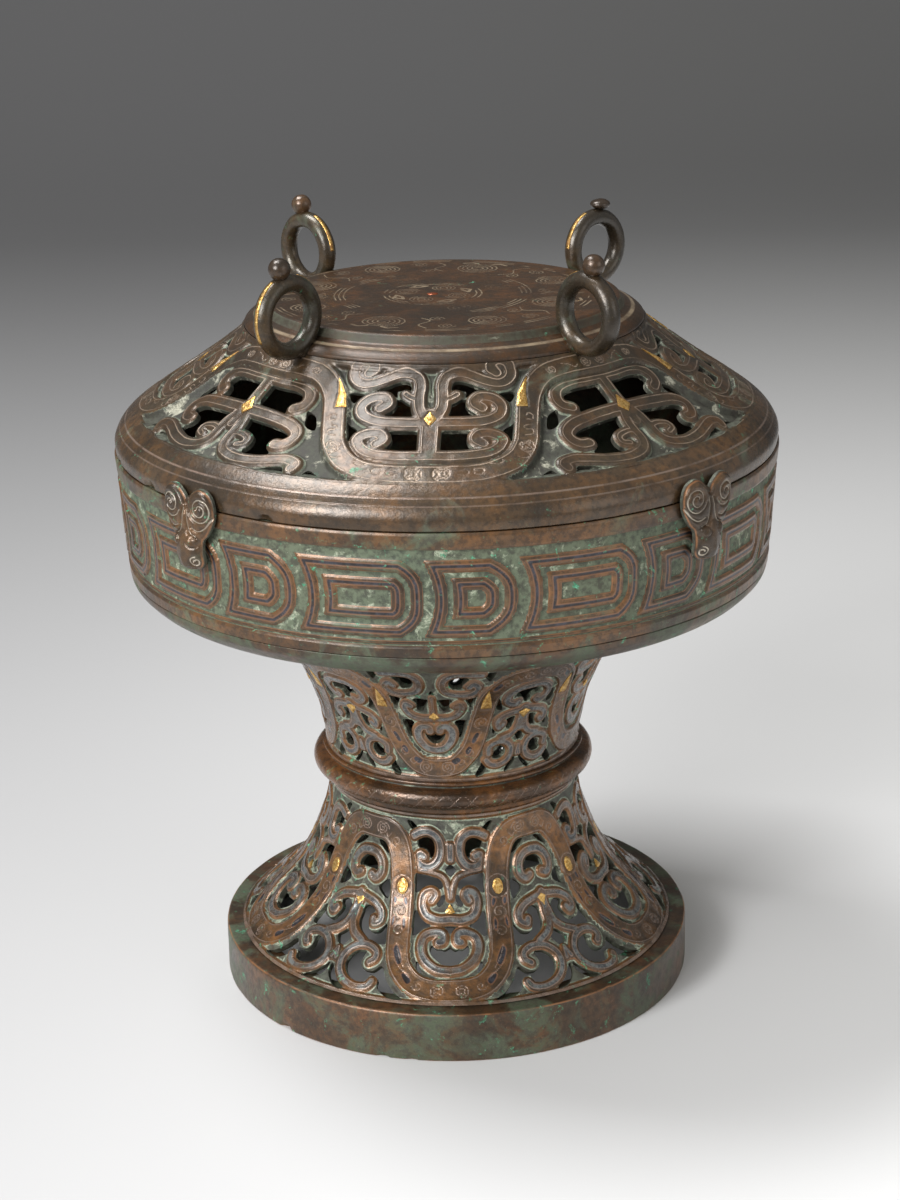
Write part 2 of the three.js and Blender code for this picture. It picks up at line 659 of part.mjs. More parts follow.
// Plain lid rim: the foot of the slope, a round shoulder and a short lip over a flat seat.
function rim() {
  const seatRadius = lidRadius - lidSeatWidth;
  const section = [
    slopeBase,
    ...arc(shoulderMiddle.x, shoulderMiddle.y, lidShoulderRound, lidShoulderTurn, 0, 3),
    new THREE.Vector2(lidRadius - lidLipDraw, lidBaseZ),
    new THREE.Vector2(seatRadius, lidBaseZ),
    new THREE.Vector2(slopeBase.x - lidWall / Math.cos(shoulderTurn), slopeBase.y),
  ];
  return revolve(section, plainSegments, claspTurn);
}

// Roundel: a flat disc with a turned-down side band that stands on the slope's upper edge.
function roundel() {
  const edge = slopeTop.x;
  const baseZ = slopeTop.y + seatGap;
  return revolve([
    new THREE.Vector2(0, roundelTopZ),
    new THREE.Vector2(edge - roundelBevelRun, roundelTopZ),
    new THREE.Vector2(edge, roundelTopZ - roundelBevelDrop),
    new THREE.Vector2(edge, baseZ),
    new THREE.Vector2(edge - roundelWall, baseZ),
    new THREE.Vector2(edge - roundelBevelRun, roundelTopZ - roundelWall),
    new THREE.Vector2(0, roundelTopZ - roundelWall),
  ], plainSegments);
}

// A solid body of everything below the lid's outer face, for trimming what stands on it.
function lidBody() {
  const face = slope.line.points.map((point, i) => slope.line.at(i / slopeSteps, strapRise + seatGap));
  return revolve([
    new THREE.Vector2(0, roundelTopZ + seatGap),
    new THREE.Vector2(slopeTop.x + seatGap - roundelBevelRun, roundelTopZ + seatGap),
    new THREE.Vector2(slopeTop.x + seatGap, roundelTopZ + seatGap - roundelBevelDrop),
    new THREE.Vector2(slopeTop.x + seatGap, face[0].y),
    ...face,
    new THREE.Vector2(0, face[slopeSteps].y),
  ], plainSegments);
}

// Ring handle: a fixed upright ring in a plane through the axis, a ball on its top and a short foot.
function ringHandle() {
  const ringZ = roundelTopZ + ringLift;
  const standRadius = slopeTop.x + ringOut;
  const ring = new THREE.TorusGeometry(ringRadius, ringRodRadius, 6, 14);
  ring.translate(standRadius, ringZ, 0);
  ring.rotateX(Math.PI / 2);
  const knobReach = ringRadius + ringRodRadius + ringKnobRadius - ringKnobSink;
  const knob = new THREE.SphereGeometry(ringKnobRadius, 8, 5);
  knob.rotateX(Math.PI / 2);
  knob.translate(
    standRadius + knobReach * Math.sin(rad(ringKnobLean)),
    0,
    ringZ + knobReach * Math.cos(rad(ringKnobLean)),
  );
  const footLength = ringRadius + ringRodRadius;
  const foot = new THREE.CylinderGeometry(ringFootRadius, ringFootBaseRadius, footLength, 6);
  foot.rotateX(Math.PI / 2);
  foot.translate(standRadius, 0, ringZ - ringRadius - footLength / 2);
  const whole = solidOfGeometry(ring).add(solidOfGeometry(knob)).add(solidOfGeometry(foot));
  return whole.subtract(lidBody());
}

// Everything inside a clasp: the lid's lip above and the bowl's wall below, each with its clearance.
function behindClasp(topZ) {
  const bowlFace = bowlRadius + claspGap;
  const lipFace = lidRadius + seatGap;
  return revolve([
    new THREE.Vector2(0, topZ - claspHeight),
    new THREE.Vector2(bowlFace, topZ - claspHeight),
    new THREE.Vector2(bowlFace, lidBaseZ - seatGap),
    new THREE.Vector2(lipFace, lidBaseZ - seatGap),
    new THREE.Vector2(lipFace, topZ),
    new THREE.Vector2(0, topZ),
  ], 4 * plainSegments);
}

// The clasp's outline on the bowl's wall, in shares of its half width and its height, from the notch
// between the ears round one ear, the cheek and the chin, and back up the other side.
function claspOutline() {
  const side = [[0, 0.2], [0.2, 0.06], [0.55, 0], [0.86, 0.07], [1, 0.24], [0.94, 0.42], [0.7, 0.58],
    [0.52, 0.68], [0.54, 0.8], [0.5, 0.94], [0.28, 1], [0, 1]];
  const otherSide = side.slice(1, -1).reverse().map(([x, y]) => [-x, y]);
  return [...side, ...otherSide].reverse();
}

// Mask clasp: scrolled ears over a narrow snout, fixed to the lid's lip and hanging over the bowl's wall.
function maskClasp() {
  const topZ = lidBaseZ - claspDrop + claspHeight;
  const backRadius = bowlRadius + claspGap;
  const upright = [topZ, topZ - claspHeight].map((z) => new THREE.Vector2(backRadius, z));
  const line = new WallLine(upright);
  const outline = claspOutline();
  const halfAngle = claspWidth / 2 / backRadius;
  const loop = (size, offset) => outline.map(
    ([x, y]) => onWall(line, x * halfAngle * size, 0.5 + (y - 0.5) * size, offset),
  );
  const shape = outline.map(([x, y]) => new THREE.Vector2(x * claspWidth / 2, -y * claspHeight));
  const plate = loft([loop(claspCrown, claspThickness), loop(1, claspEdgeThickness), loop(1, 0)], shape);

  const snout = new THREE.SphereGeometry(1, 6, 5);
  snout.scale(claspSnoutWidth / 2, claspThickness, claspSnoutHeight / 2);
  snout.translate(0, claspThickness - claspSnoutReach - backRadius, topZ - claspHeight + claspSnoutHeight / 2);

  const lugDepth = backRadius - lidRadius - seatGap + claspLugSink;
  const lug = new THREE.BoxGeometry(claspLugWidth, lugDepth + seatGap, lidLipHeight - 1);
  lug.translate(0, (lugDepth - seatGap) / 2 - backRadius - claspLugSink, lidBaseZ + lidLipHeight / 2);
  return solidOfGeometry(snout).add(solidOfGeometry(lug)).subtract(behindClasp(topZ)).add(plate);
}

addPiece(vessel, 'foot_ring', footRing(), greenBronze);
skirtPieces();
addPiece(vessel, 'pedestal_collar', collar(), brownBronze);
neckPieces();
addPiece(vessel, 'bowl', bowl(), greenBronze);
addPiece(lid, 'lid_rim', rim(), brownBronze);
slopePieces();
addPiece(lid, 'lid_roundel', roundel(), darkBronze);

for (let i = 0; i < lidRepeats; i += 1) {
  const handle = addPiece(lid, `ring_handle_${i + 1}`, ringHandle(), darkBronze);
  handle.rotation.z = rad(ringTurns[i] + 360 / lidRepeats * (i + 0.5) - 90);
  const clasp = addPiece(lid, `mask_clasp_${i + 1}`, maskClasp(), brownBronze);
  clasp.rotation.z = rad(claspTurn + 360 / lidRepeats * i);
}

export default vessel;
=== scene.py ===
import math

import bpy
import numpy as np
from mathutils import Euler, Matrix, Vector


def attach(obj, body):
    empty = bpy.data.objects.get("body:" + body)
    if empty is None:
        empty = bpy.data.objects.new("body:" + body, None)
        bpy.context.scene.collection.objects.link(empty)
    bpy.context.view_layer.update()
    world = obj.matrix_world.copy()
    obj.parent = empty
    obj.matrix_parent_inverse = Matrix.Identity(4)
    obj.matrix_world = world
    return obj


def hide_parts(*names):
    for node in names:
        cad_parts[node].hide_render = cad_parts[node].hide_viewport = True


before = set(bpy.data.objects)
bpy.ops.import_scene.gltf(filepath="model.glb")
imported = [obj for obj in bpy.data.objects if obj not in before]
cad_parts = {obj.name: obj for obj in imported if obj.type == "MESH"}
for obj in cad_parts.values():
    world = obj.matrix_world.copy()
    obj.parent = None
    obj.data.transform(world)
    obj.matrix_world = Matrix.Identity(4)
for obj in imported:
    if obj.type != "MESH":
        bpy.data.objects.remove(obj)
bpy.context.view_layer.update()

MM = 0.001
CELL = 0.6  # spacing of the fine grids

# Places and sizes taken from the CAD model
FOOT_TOP = 19.8  # where the skirt stands on the foot ring
SKIRT_TOP = 81.1
NECK_BASE = 94.8
NECK_TOP = 158.7
BOWL_RIM = 216.8
SLOPE_BASE = 230.8  # of the lid's pierced slope
SLOPE_TOP = 262.0
ROUNDEL_BASE = 261.97
ROUNDEL_TOP = 270.32
ROUNDEL_EDGE = 74.5
BEVEL_RUN = 9.0
RING_STAND = 80.0  # of each handle's centre from the axis
RING_HEIGHT = 276.02
RING_ANGLES = (38.5, 132.0, 221.5, 317.0)
KNOB_TOP = 297.9
CLASP_BACK = 125.8  # radius of the clasps' flat backs
CLASP_BASE = 195.2

# Seen in the photo
DRAWING_CENTRE = (-4.2, 2.0)  # of the engraving on the roundel
WORN_KNOB = 1  # the back right one is flattened
TWO_STRIPS = 3  # the front left ring gets a second strip of gold, on the outer side that faces the lamps

FAR = 9.0  # value of a distance field well away from its lines


# Noise

def lattice(ix, iy, iz, seed):
    """A fixed number between -1 and 1 for each whole place."""
    n = (ix * 374761393 + iy * 668265263 + iz * 1013904223 + seed * 1274126177) & 0xFFFFFFFF
    n = ((n ^ (n >> 13)) * 1274126177) & 0xFFFFFFFF
    return ((n ^ (n >> 16)) & 0xFFFF) / 32767.5 - 1.0


def noise(points, size, seed):
    """Smooth values between -1 and 1, with bumps about size across."""
    p = np.asarray(points) / size
    base = np.floor(p).astype(np.int64)
    f = p - base
    f = f * f * (3 - 2 * f)
    total = np.zeros(p.shape[:-1])
    for dx in (0, 1):
        wx = f[..., 0] if dx else 1 - f[..., 0]
        for dy in (0, 1):
            wy = f[..., 1] if dy else 1 - f[..., 1]
            for dz in (0, 1):
                wz = f[..., 2] if dz else 1 - f[..., 2]
                corner = lattice(base[..., 0] + dx, base[..., 1] + dy, base[..., 2] + dz, seed)
                total += wx * wy * wz * corner
    return total


def cast_skin(points):
    """The unevenness of a cast and rubbed surface."""
    return noise(points, 14, 3) + 0.5 * noise(points, 5, 4)


def smooth_step(x):
    x = np.clip(x, 0, 1)
    return x * x * (3 - 2 * x)


# Lines

def smooth_line(points, per=6, closed=False):
    """Catmull-Rom curve through points."""
    p = np.asarray(points, float)
    n = len(p)
    out = []
    for i in range(n if closed else n - 1):
        if closed:
            a, b, c, d = p[(i - 1) % n], p[i], p[(i + 1) % n], p[(i + 2) % n]
        else:
            b, c = p[i], p[i + 1]
            a = p[i - 1] if i > 0 else 2 * b - c
            d = p[i + 2] if i + 2 < n else 2 * c - b
        for k in range(per):
            t = k / per
            out.append(0.5 * (2 * b + (c - a) * t + (2 * a - 5 * b + 4 * c - d) * t * t
                              + (3 * b - a - 3 * c + d) * t ** 3))
    if not closed:
        out.append(p[-1])
    return np.array(out)


def spiral(centre, radius, turns, start=0.0, sense=1, squeeze=1.0, inner=0.12):
    """Spiral line in drawing units, from outside to the eye. squeeze scales it across."""
    count = max(10, int(turns * 14))
    t = np.linspace(0, 1, count)
    a = math.radians(start) + sense * 2 * math.pi * turns * t
    r = radius * (1 - (1 - inner) * t)
    return np.stack([centre[0] + squeeze * r * np.cos(a), centre[1] + r * np.sin(a)], 1)


def segment_distance(x, y, a, b):
    """Distances of points to the segment from a to b."""
    v = b - a
    t = np.clip(((x - a[0]) * v[0] + (y - a[1]) * v[1]) / max(v @ v, 1e-9), 0, 1)
    return np.hypot(x - a[0] - t * v[0], y - a[1] - t * v[1])


def crosses(x, y, a, b):
    """Whether a line from each point towards +x crosses the segment from a to b."""
    if a[1] == b[1]:
        return False
    return ((y < a[1]) != (y < b[1])) & (x < a[0] + (y - a[1]) / (b[1] - a[1]) * (b[0] - a[0]))


# Walls of revolution

class Profile:
    """One side of a wall in the plane through the axis."""

    def __init__(self, points):
        p = smooth_line(points, 10)
        step = np.hypot(*np.diff(p, axis=0).T)
        self.s = np.concatenate([[0], np.cumsum(step)])
        self.r, self.z = p[:, 0], p[:, 1]
        self.length = self.s[-1]
        tr, tz = np.gradient(self.r, self.s), np.gradient(self.z, self.s)
        n = np.hypot(tr, tz)
        self.nr, self.nz = -tz / n, tr / n

    def at(self, s, offset=0.0):
        r, z = np.interp(s, self.s, self.r), np.interp(s, self.s, self.z)
        return r + np.interp(s, self.s, self.nr) * offset, z + np.interp(s, self.s, self.nz) * offset


class Wall:
    """A wall of revolution with a regular grid of angles and slant distances, and fields drawn on it."""

    def __init__(self, profile, repeats, turn, columns, rows, cell=CELL):
        self.profile, self.repeats, self.turn = profile, repeats, math.radians(turn)
        self.columns, self.rows = columns, rows
        self.half = math.pi / repeats
        self.n_s = int(math.ceil(profile.length / cell))
        wide = 2 * math.pi * float(profile.r.max()) * 0.9
        per_repeat = int(math.ceil(wide / repeats / cell / 2)) * 2
        self.n_t = per_repeat * repeats
        self.per_repeat = per_repeat
        self.s = np.linspace(0, profile.length, self.n_s + 1)
        self.t = self.turn + np.linspace(0, 2 * math.pi, self.n_t + 1)
        self.radius = profile.at(self.s)[0]
        self.shape = (self.n_s + 1, self.n_t + 1)

    def place(self, points, half):
        """Drawing points as (angle, height) on one half repeat. Odd halves are mirrored."""
        p = np.asarray(points, float)
        across = self.columns - p[:, 0] if half % 2 else p[:, 0]
        angle = self.turn + (half + across / self.columns) * self.half
        return np.stack([angle, p[:, 1] / self.rows * self.profile.length], 1)

    def copies(self, points):
        for half in range(2 * self.repeats):
            yield self.place(points, half)

    def windows(self, angles, heights, reach):
        """The parts of the grid within reach of some points, and the turn that each lies at."""
        i0 = max(0, int(np.searchsorted(self.s, heights.min() - reach)) - 1)
        i1 = min(self.n_s + 1, int(np.searchsorted(self.s, heights.max() + reach)) + 1)
        if i0 >= i1:
            return
        margin = reach / max(1.0, float(self.radius[i0:i1].min()))
        for shift in (-2 * math.pi, 0.0, 2 * math.pi):
            j0 = max(0, int(np.searchsorted(self.t, angles.min() + shift - margin)) - 1)
            j1 = min(self.n_t + 1, int(np.searchsorted(self.t, angles.max() + shift + margin)) + 1)
            if j0 < j1:
                yield slice(i0, i1), slice(j0, j1), shift

    def segment_distance(self, a, b, rows, cols, shift):
        k = self.radius[rows][:, None]
        x = (self.t[cols][None, :] - a[0] - shift) * k
        y = self.s[rows][:, None] - a[1]
        vx = (b[0] - a[0]) * k
        vy = b[1] - a[1]
        t = np.clip((x * vx + y * vy) / np.maximum(vx * vx + vy * vy, 1e-9), 0, 1)
        return np.hypot(x - t * vx, y - t * vy)

    def distances(self, line, reach):
        """Distances to each segment of a line of (angle, height) points, where they are within reach."""
        for a, b in zip(line[:-1], line[1:]):
            ends = np.array([a, b])
            for rows, cols, shift in self.windows(ends[:, 0], ends[:, 1], reach):
                yield rows, cols, self.segment_distance(a, b, rows, cols, shift)

    def draw_line(self, field, line, reach):
        """Keeps in field the least distance to a line."""
        for rows, cols, d in self.distances(line, reach):
            np.minimum(field[rows, cols], d, out=field[rows, cols])

    def draw_band(self, field, line, width, reach=2.5):
        """Keeps in field the greatest depth inside a band, negative outside it."""
        for rows, cols, d in self.distances(line, width / 2 + reach):
            np.maximum(field[rows, cols], width / 2 - d, out=field[rows, cols])

    def draw_patch(self, field, outline, reach=2.5):
        """Keeps in field the greatest depth inside a closed outline, negative outside it."""
        n = len(outline)
        for rows, cols, shift in self.windows(outline[:, 0], outline[:, 1], reach):
            near = np.full((rows.stop - rows.start, cols.stop - cols.start), 1e9)
            inside = np.zeros(near.shape, bool)
            x = self.t[cols][None, :] - shift
            y = self.s[rows][:, None]
            for i in range(n):
                a, b = outline[i], outline[(i + 1) % n]
                np.minimum(near, self.segment_distance(a, b, rows, cols, shift), out=near)
                inside ^= crosses(x, y, a, b)
            d = np.where(inside, near, -near)
            np.maximum(field[rows, cols], d, out=field[rows, cols])

    def points(self, offset, s=None, t=None):
        """Places of grid points, moved square to the wall."""
        s = np.broadcast_to(self.s[:, None], self.shape) if s is None else s
        t = np.broadcast_to(self.t[None, :], self.shape) if t is None else t
        r, z = self.profile.at(s, offset)
        return np.stack([r * np.sin(t), -r * np.cos(t), z], -1)


# Meshes

# The fields that materials read, and their values where nothing is drawn
FIELDS = {"depth": FAR, "line": FAR, "patch": -FAR, "strap": 0.0}
BEHIND = {**FIELDS, "depth": -3.0}  # the inner side of a shell counts as a deep recess


def ring_quads(rows, sides):
    """Quads of a grid that closes on itself both ways."""
    i, j = np.arange(rows)[:, None], np.arange(sides)[None, :]
    i2, j2 = (i + 1) % rows, (j + 1) % sides
    return np.stack([i * sides + j, i * sides + j2, i2 * sides + j2, i2 * sides + j], -1).reshape(-1, 4)


def strip_quads(rows, sides):
    """Quads of a grid that closes on itself only round its sides."""
    i, j = np.arange(rows - 1)[:, None], np.arange(sides)[None, :]
    j2 = (j + 1) % sides
    return np.stack([i * sides + j, (i + 1) * sides + j, (i + 1) * sides + j2, i * sides + j2],
                    -1).reshape(-1, 4)


def capped_triangles(rows, sides):
    """Triangles of such a grid with a pole at each end, whose two points follow the grid's."""
    quads = strip_quads(rows, sides)
    j = np.arange(sides)
    j2 = (j + 1) % sides
    top = np.full(sides, rows * sides)
    last = (rows - 1) * sides
    return np.concatenate([
        quads[:, [0, 1, 2]], quads[:, [0, 2, 3]],
        np.stack([top, j, j2], 1), np.stack([top + 1, last + j2, last + j], 1),
    ])


def make_mesh(name, vertices, faces, fields=None, sharp=None):
    """A Blender object from arrays: vertices in millimetres, faces as triangles or quads."""
    vertices = np.asarray(vertices, float)
    faces = np.asarray(faces, np.int32)
    a, b, c = (vertices[faces[:, k]] for k in (0, 1, 2))
    volume = np.einsum("ij,ij->i", a, np.cross(b, c)).sum()
    if faces.shape[1] == 4:
        d = vertices[faces[:, 3]]
        volume += np.einsum("ij,ij->i", a, np.cross(c, d)).sum()
    if volume < 0:
        faces = faces[:, ::-1]
    corners = faces.shape[1]
    mesh = bpy.data.meshes.new(name)
    mesh.vertices.add(len(vertices))
    mesh.vertices.foreach_set("co", (vertices * MM).astype(np.float32).ravel())
    mesh.loops.add(faces.size)
    mesh.loops.foreach_set("vertex_index", faces.ravel())
    mesh.polygons.add(len(faces))
    mesh.polygons.foreach_set("loop_start", np.arange(len(faces), dtype=np.int32) * corners)
    mesh.update(calc_edges=True)
    mesh.validate()
    mesh.polygons.foreach_set("use_smooth", np.full(len(mesh.polygons), True))
    if sharp is not None:
        ends = np.empty(len(mesh.edges) * 2, np.int32)
        mesh.edges.foreach_get("vertices", ends)
        ends = np.sort(ends.reshape(-1, 2), axis=1).astype(np.int64)
        wanted = np.sort(np.asarray(sharp, np.int64), axis=1)
        key = ends[:, 0] * len(vertices) + ends[:, 1]
        marks = np.isin(key, wanted[:, 0] * len(vertices) + wanted[:, 1])
        layer = mesh.attributes.new("sharp_edge", "BOOLEAN", "EDGE")
        layer.data.foreach_set("value", marks)
    for field, plain in FIELDS.items():
        layer = mesh.attributes.new(field, "FLOAT", "POINT")
        values = np.full(len(vertices), plain, np.float32)
        if fields and field in fields:
            values = np.asarray(fields[field], np.float32).ravel()
        layer.data.foreach_set("value", values)
    piece = bpy.data.objects.new(name, mesh)
    bpy.context.scene.collection.objects.link(piece)
    return piece


def boundary_of(triangles, count):
    """Directed edges used by only one triangle."""
    e = np.concatenate([triangles[:, [0, 1]], triangles[:, [1, 2]], triangles[:, [2, 0]]]).astype(np.int64)
    low, high = e.min(1), e.max(1)
    key = low * count + high
    _, first, counts = np.unique(key, return_index=True, return_counts=True)
    return e[first[counts == 1]]


def clipped_shell(name, outer, inner, hole, fields):
    """A closed shell between two grids, without the part where hole is above 0."""
    ni, nj = hole.shape
    index = np.arange(ni * nj).reshape(ni, nj)
    a, b = index[:-1, :-1], index[:-1, 1:]
    c, d = index[1:, 1:], index[1:, :-1]
    flip = ((np.arange(ni - 1)[:, None] + np.arange(nj - 1)[None, :]) % 2).astype(bool)
    one = np.where(flip[..., None], np.stack([a, d, b], -1), np.stack([a, d, c], -1)).reshape(-1, 3)
    two = np.where(flip[..., None], np.stack([d, c, b], -1), np.stack([a, c, b], -1)).reshape(-1, 3)
    triangles = np.concatenate([one, two])
    out_p = outer.reshape(-1, 3)
    in_p = inner.reshape(-1, 3)
    f = hole.ravel()
    values = {k: v.ravel() for k, v in fields.items()}
    inside = f > 0
    score = inside[triangles].sum(1)
    faces = triangles[score == 0]
    mixed = triangles[(score == 1) | (score == 2)]
    if len(mixed):
        # Cut each mixed triangle where the edge of the hole crosses its sides
        lone_is_in = inside[mixed].sum(1) == 1
        flags = inside[mixed] == lone_is_in[:, None]
        lone = np.argmax(flags, axis=1)
        p = mixed[np.arange(len(mixed)), lone]
        q = mixed[np.arange(len(mixed)), (lone + 1) % 3]
        r = mixed[np.arange(len(mixed)), (lone + 2) % 3]
        edge = np.concatenate([np.stack([p, q], 1), np.stack([p, r], 1)])
        edge.sort(axis=1)
        unique, where = np.unique(edge, axis=0, return_inverse=True)
        where = where.ravel()
        fa, fb = f[unique[:, 0]], f[unique[:, 1]]
        t = np.clip(fa / np.where(fa == fb, 1, fa - fb), 0.0, 1.0)
        on_a = (t < 0.02) & (fa <= 0)
        on_b = (t > 0.98) & (fb <= 0)
        new_id = len(f) + np.arange(len(unique))
        new_id = np.where(on_a, unique[:, 0], np.where(on_b, unique[:, 1], new_id))

        def with_cuts(v):
            share = t[:, None] if v.ndim > 1 else t
            return np.concatenate([v, v[unique[:, 0]] * (1 - share) + v[unique[:, 1]] * share])

        out_p, in_p = with_cuts(out_p), with_cuts(in_p)
        values = {k: with_cuts(v) for k, v in values.items()}
        pq, pr = new_id[where[:len(mixed)]], new_id[where[len(mixed):]]
        out, m = ~lone_is_in, lone_is_in
        faces = np.concatenate([
            faces, np.stack([p[out], pq[out], pr[out]], 1),
            np.stack([pq[m], q[m], r[m]], 1), np.stack([pq[m], r[m], pr[m]], 1),
        ])
    good = (faces[:, 0] != faces[:, 1]) & (faces[:, 1] != faces[:, 2]) & (faces[:, 2] != faces[:, 0])
    faces = faces[good]

    # Leave out unused points, then add the inner side and the walls between the two
    used = np.unique(faces)
    remap = np.full(len(out_p), -1)
    remap[used] = np.arange(len(used))
    faces = remap[faces]
    out_p, in_p = out_p[used], in_p[used]
    n = len(used)
    edges = boundary_of(faces, n)
    side = np.concatenate([
        np.stack([edges[:, 1], edges[:, 0], edges[:, 0] + n], 1),
        np.stack([edges[:, 1], edges[:, 0] + n, edges[:, 1] + n], 1),
    ])
    back = faces[:, ::-1] + n
    vertices = np.concatenate([out_p, in_p])
    all_faces = np.concatenate([faces, back, side])
    both_sides = {k: np.concatenate([v[used], np.full(n, BEHIND[k])]) for k, v in values.items()}
    sharp = np.concatenate([edges, edges + n])
    return make_mesh(name, vertices, all_faces, both_sides, sharp)


def circle(steps):
    """Angles once round, without the last."""
    return np.linspace(0, 2 * math.pi, steps, endpoint=False)


def lathe(name, section, segments, fields=None, unevenness=0.1, dent=None):
    """A closed ring turned from a closed section of (r, z) points.

    A field has one value or a row of values for each point of the section.
    """
    section = np.asarray(section, float)
    t = circle(segments)
    r = np.repeat(section[:, 0][:, None], segments, 1)
    z = np.repeat(section[:, 1][:, None], segments, 1)
    p = np.stack([r * np.sin(t), -r * np.cos(t), z], -1)
    if unevenness:
        bump = unevenness * cast_skin(p)
        out = np.stack([np.sin(t) * np.ones_like(r), -np.cos(t) * np.ones_like(r)], -1)
        p[..., :2] += out * bump[..., None]
    if dent is not None:
        p = dent(p)
    spread = {}
    for key, v in (fields or {}).items():
        spread[key] = v if v.ndim > 1 else np.repeat(v[:, None], segments, 1)
    return make_mesh(name, p.reshape(-1, 3), ring_quads(len(section), segments), spread)


def solid_of_turn(name, section, segments, fields=None, unevenness=0.0):
    """A closed body turned from a section that runs from the axis at the top to the axis below.

    A field has a row of values for each point of the section between its two ends.
    """
    section = np.asarray(section, float)
    body = section[1:-1]
    n = len(body)
    t = circle(segments)
    p = np.stack([body[:, :1] * np.sin(t), -body[:, :1] * np.cos(t), body[:, 1:] * np.ones(segments)], -1)
    if unevenness:
        p[..., 2] += unevenness * cast_skin(p) * np.linspace(1, 0, n)[:, None]
    ends = np.array([[0, 0, section[0, 1]], [0, 0, section[-1, 1]]])
    vertices = np.concatenate([p.reshape(-1, 3), ends])
    spread = {k: np.append(v.ravel(), [FIELDS[k], FIELDS[k]]) for k, v in (fields or {}).items()}
    return make_mesh(name, vertices, capped_triangles(n, segments), spread)


# Materials

def rgb(code):
    """Linear colour from a hex code."""
    parts = [int(code[i:i + 2], 16) / 255 for i in (0, 2, 4)]
    return tuple(c / 12.92 if c <= 0.04045 else ((c + 0.055) / 1.055) ** 2.4 for c in parts) + (1.0,)


class Nodes:
    """Short calls for building a material's nodes."""

    def __init__(self, name):
        self.material = bpy.data.materials.new(name)
        self.material.use_nodes = True
        self.tree = self.material.node_tree
        self.tree.nodes.clear()
        self.coords = self.add("ShaderNodeTexCoord").outputs["Object"]

    def add(self, kind, inputs=None, **settings):
        node = self.tree.nodes.new(kind)
        for key, value in settings.items():
            setattr(node, key, value)
        for key, value in (inputs or {}).items():
            self.put(node.inputs[key], value)
        return node

    def put(self, socket, value):
        if hasattr(value, "is_output"):
            self.tree.links.new(value, socket)
        else:
            socket.default_value = value

    def math(self, operation, a, b=0.0, c=0.0, clamp=False):
        node = self.add("ShaderNodeMath", operation=operation, use_clamp=clamp)
        for i, value in enumerate((a, b, c)):
            self.put(node.inputs[i], value)
        return node.outputs[0]

    def times(self, a, b):
        return self.math("MULTIPLY", a, b)

    def near(self, value, target, low, high):
        """1 where value is closer to target than high, and 0 beyond low."""
        return self.span(self.math("ABSOLUTE", self.math("SUBTRACT", value, target)), low, high)

    def mix(self, factor, a, b):
        """From a to b, which are hex codes or sockets."""
        node = self.add("ShaderNodeMix", data_type="RGBA")
        self.put(node.inputs[0], factor)
        self.put(node.inputs[6], rgb(a) if isinstance(a, str) else a)
        self.put(node.inputs[7], rgb(b) if isinstance(b, str) else b)
        return node.outputs[2]

    def over(self, colour, cover, share, factor):
        """Lays cover over colour where share is 1, as much as factor says."""
        return self.mix(self.times(share, factor), colour, cover)

    def blend(self, value, low, high, a, b):
        """From one colour to another as value goes from low to high."""
        return self.mix(self.span(value, low, high), a, b)

    def span(self, value, low, high, to_low=0.0, to_high=1.0):
        """Smooth step of value from low to high."""
        node = self.add("ShaderNodeMapRange", interpolation_type="SMOOTHSTEP")
        self.put(node.inputs["Value"], value)
        for key, number in (("From Min", low), ("From Max", high), ("To Min", to_low), ("To Max", to_high)):
            node.inputs[key].default_value = number
        return node.outputs[0]

    def field(self, name):
        node = self.add("ShaderNodeAttribute", attribute_type="GEOMETRY", attribute_name=name)
        return node.outputs["Fac"]

    def noise(self, scale, detail, roughness, distortion=0.0, offset=None):
        vector = self.coords
        if offset is not None:
            shift = self.add("ShaderNodeVectorMath", operation="ADD")
            self.put(shift.inputs[0], self.coords)
            shift.inputs[1].default_value = offset
            vector = shift.outputs[0]
        node = self.add("ShaderNodeTexNoise", inputs={
            "Vector": vector, "Scale": scale, "Detail": detail, "Roughness": roughness,
            "Distortion": distortion,
        })
        return node.outputs["Fac"]

    def shade(self, **inputs):
        """Ends the material in a Principled shader. A name's underscores stand for spaces."""
        shader = self.add("ShaderNodeBsdfPrincipled", {k.replace("_", " "): v for k, v in inputs.items()})
        self.add("ShaderNodeOutputMaterial", {"Surface": shader.outputs[0]})
        return self.material


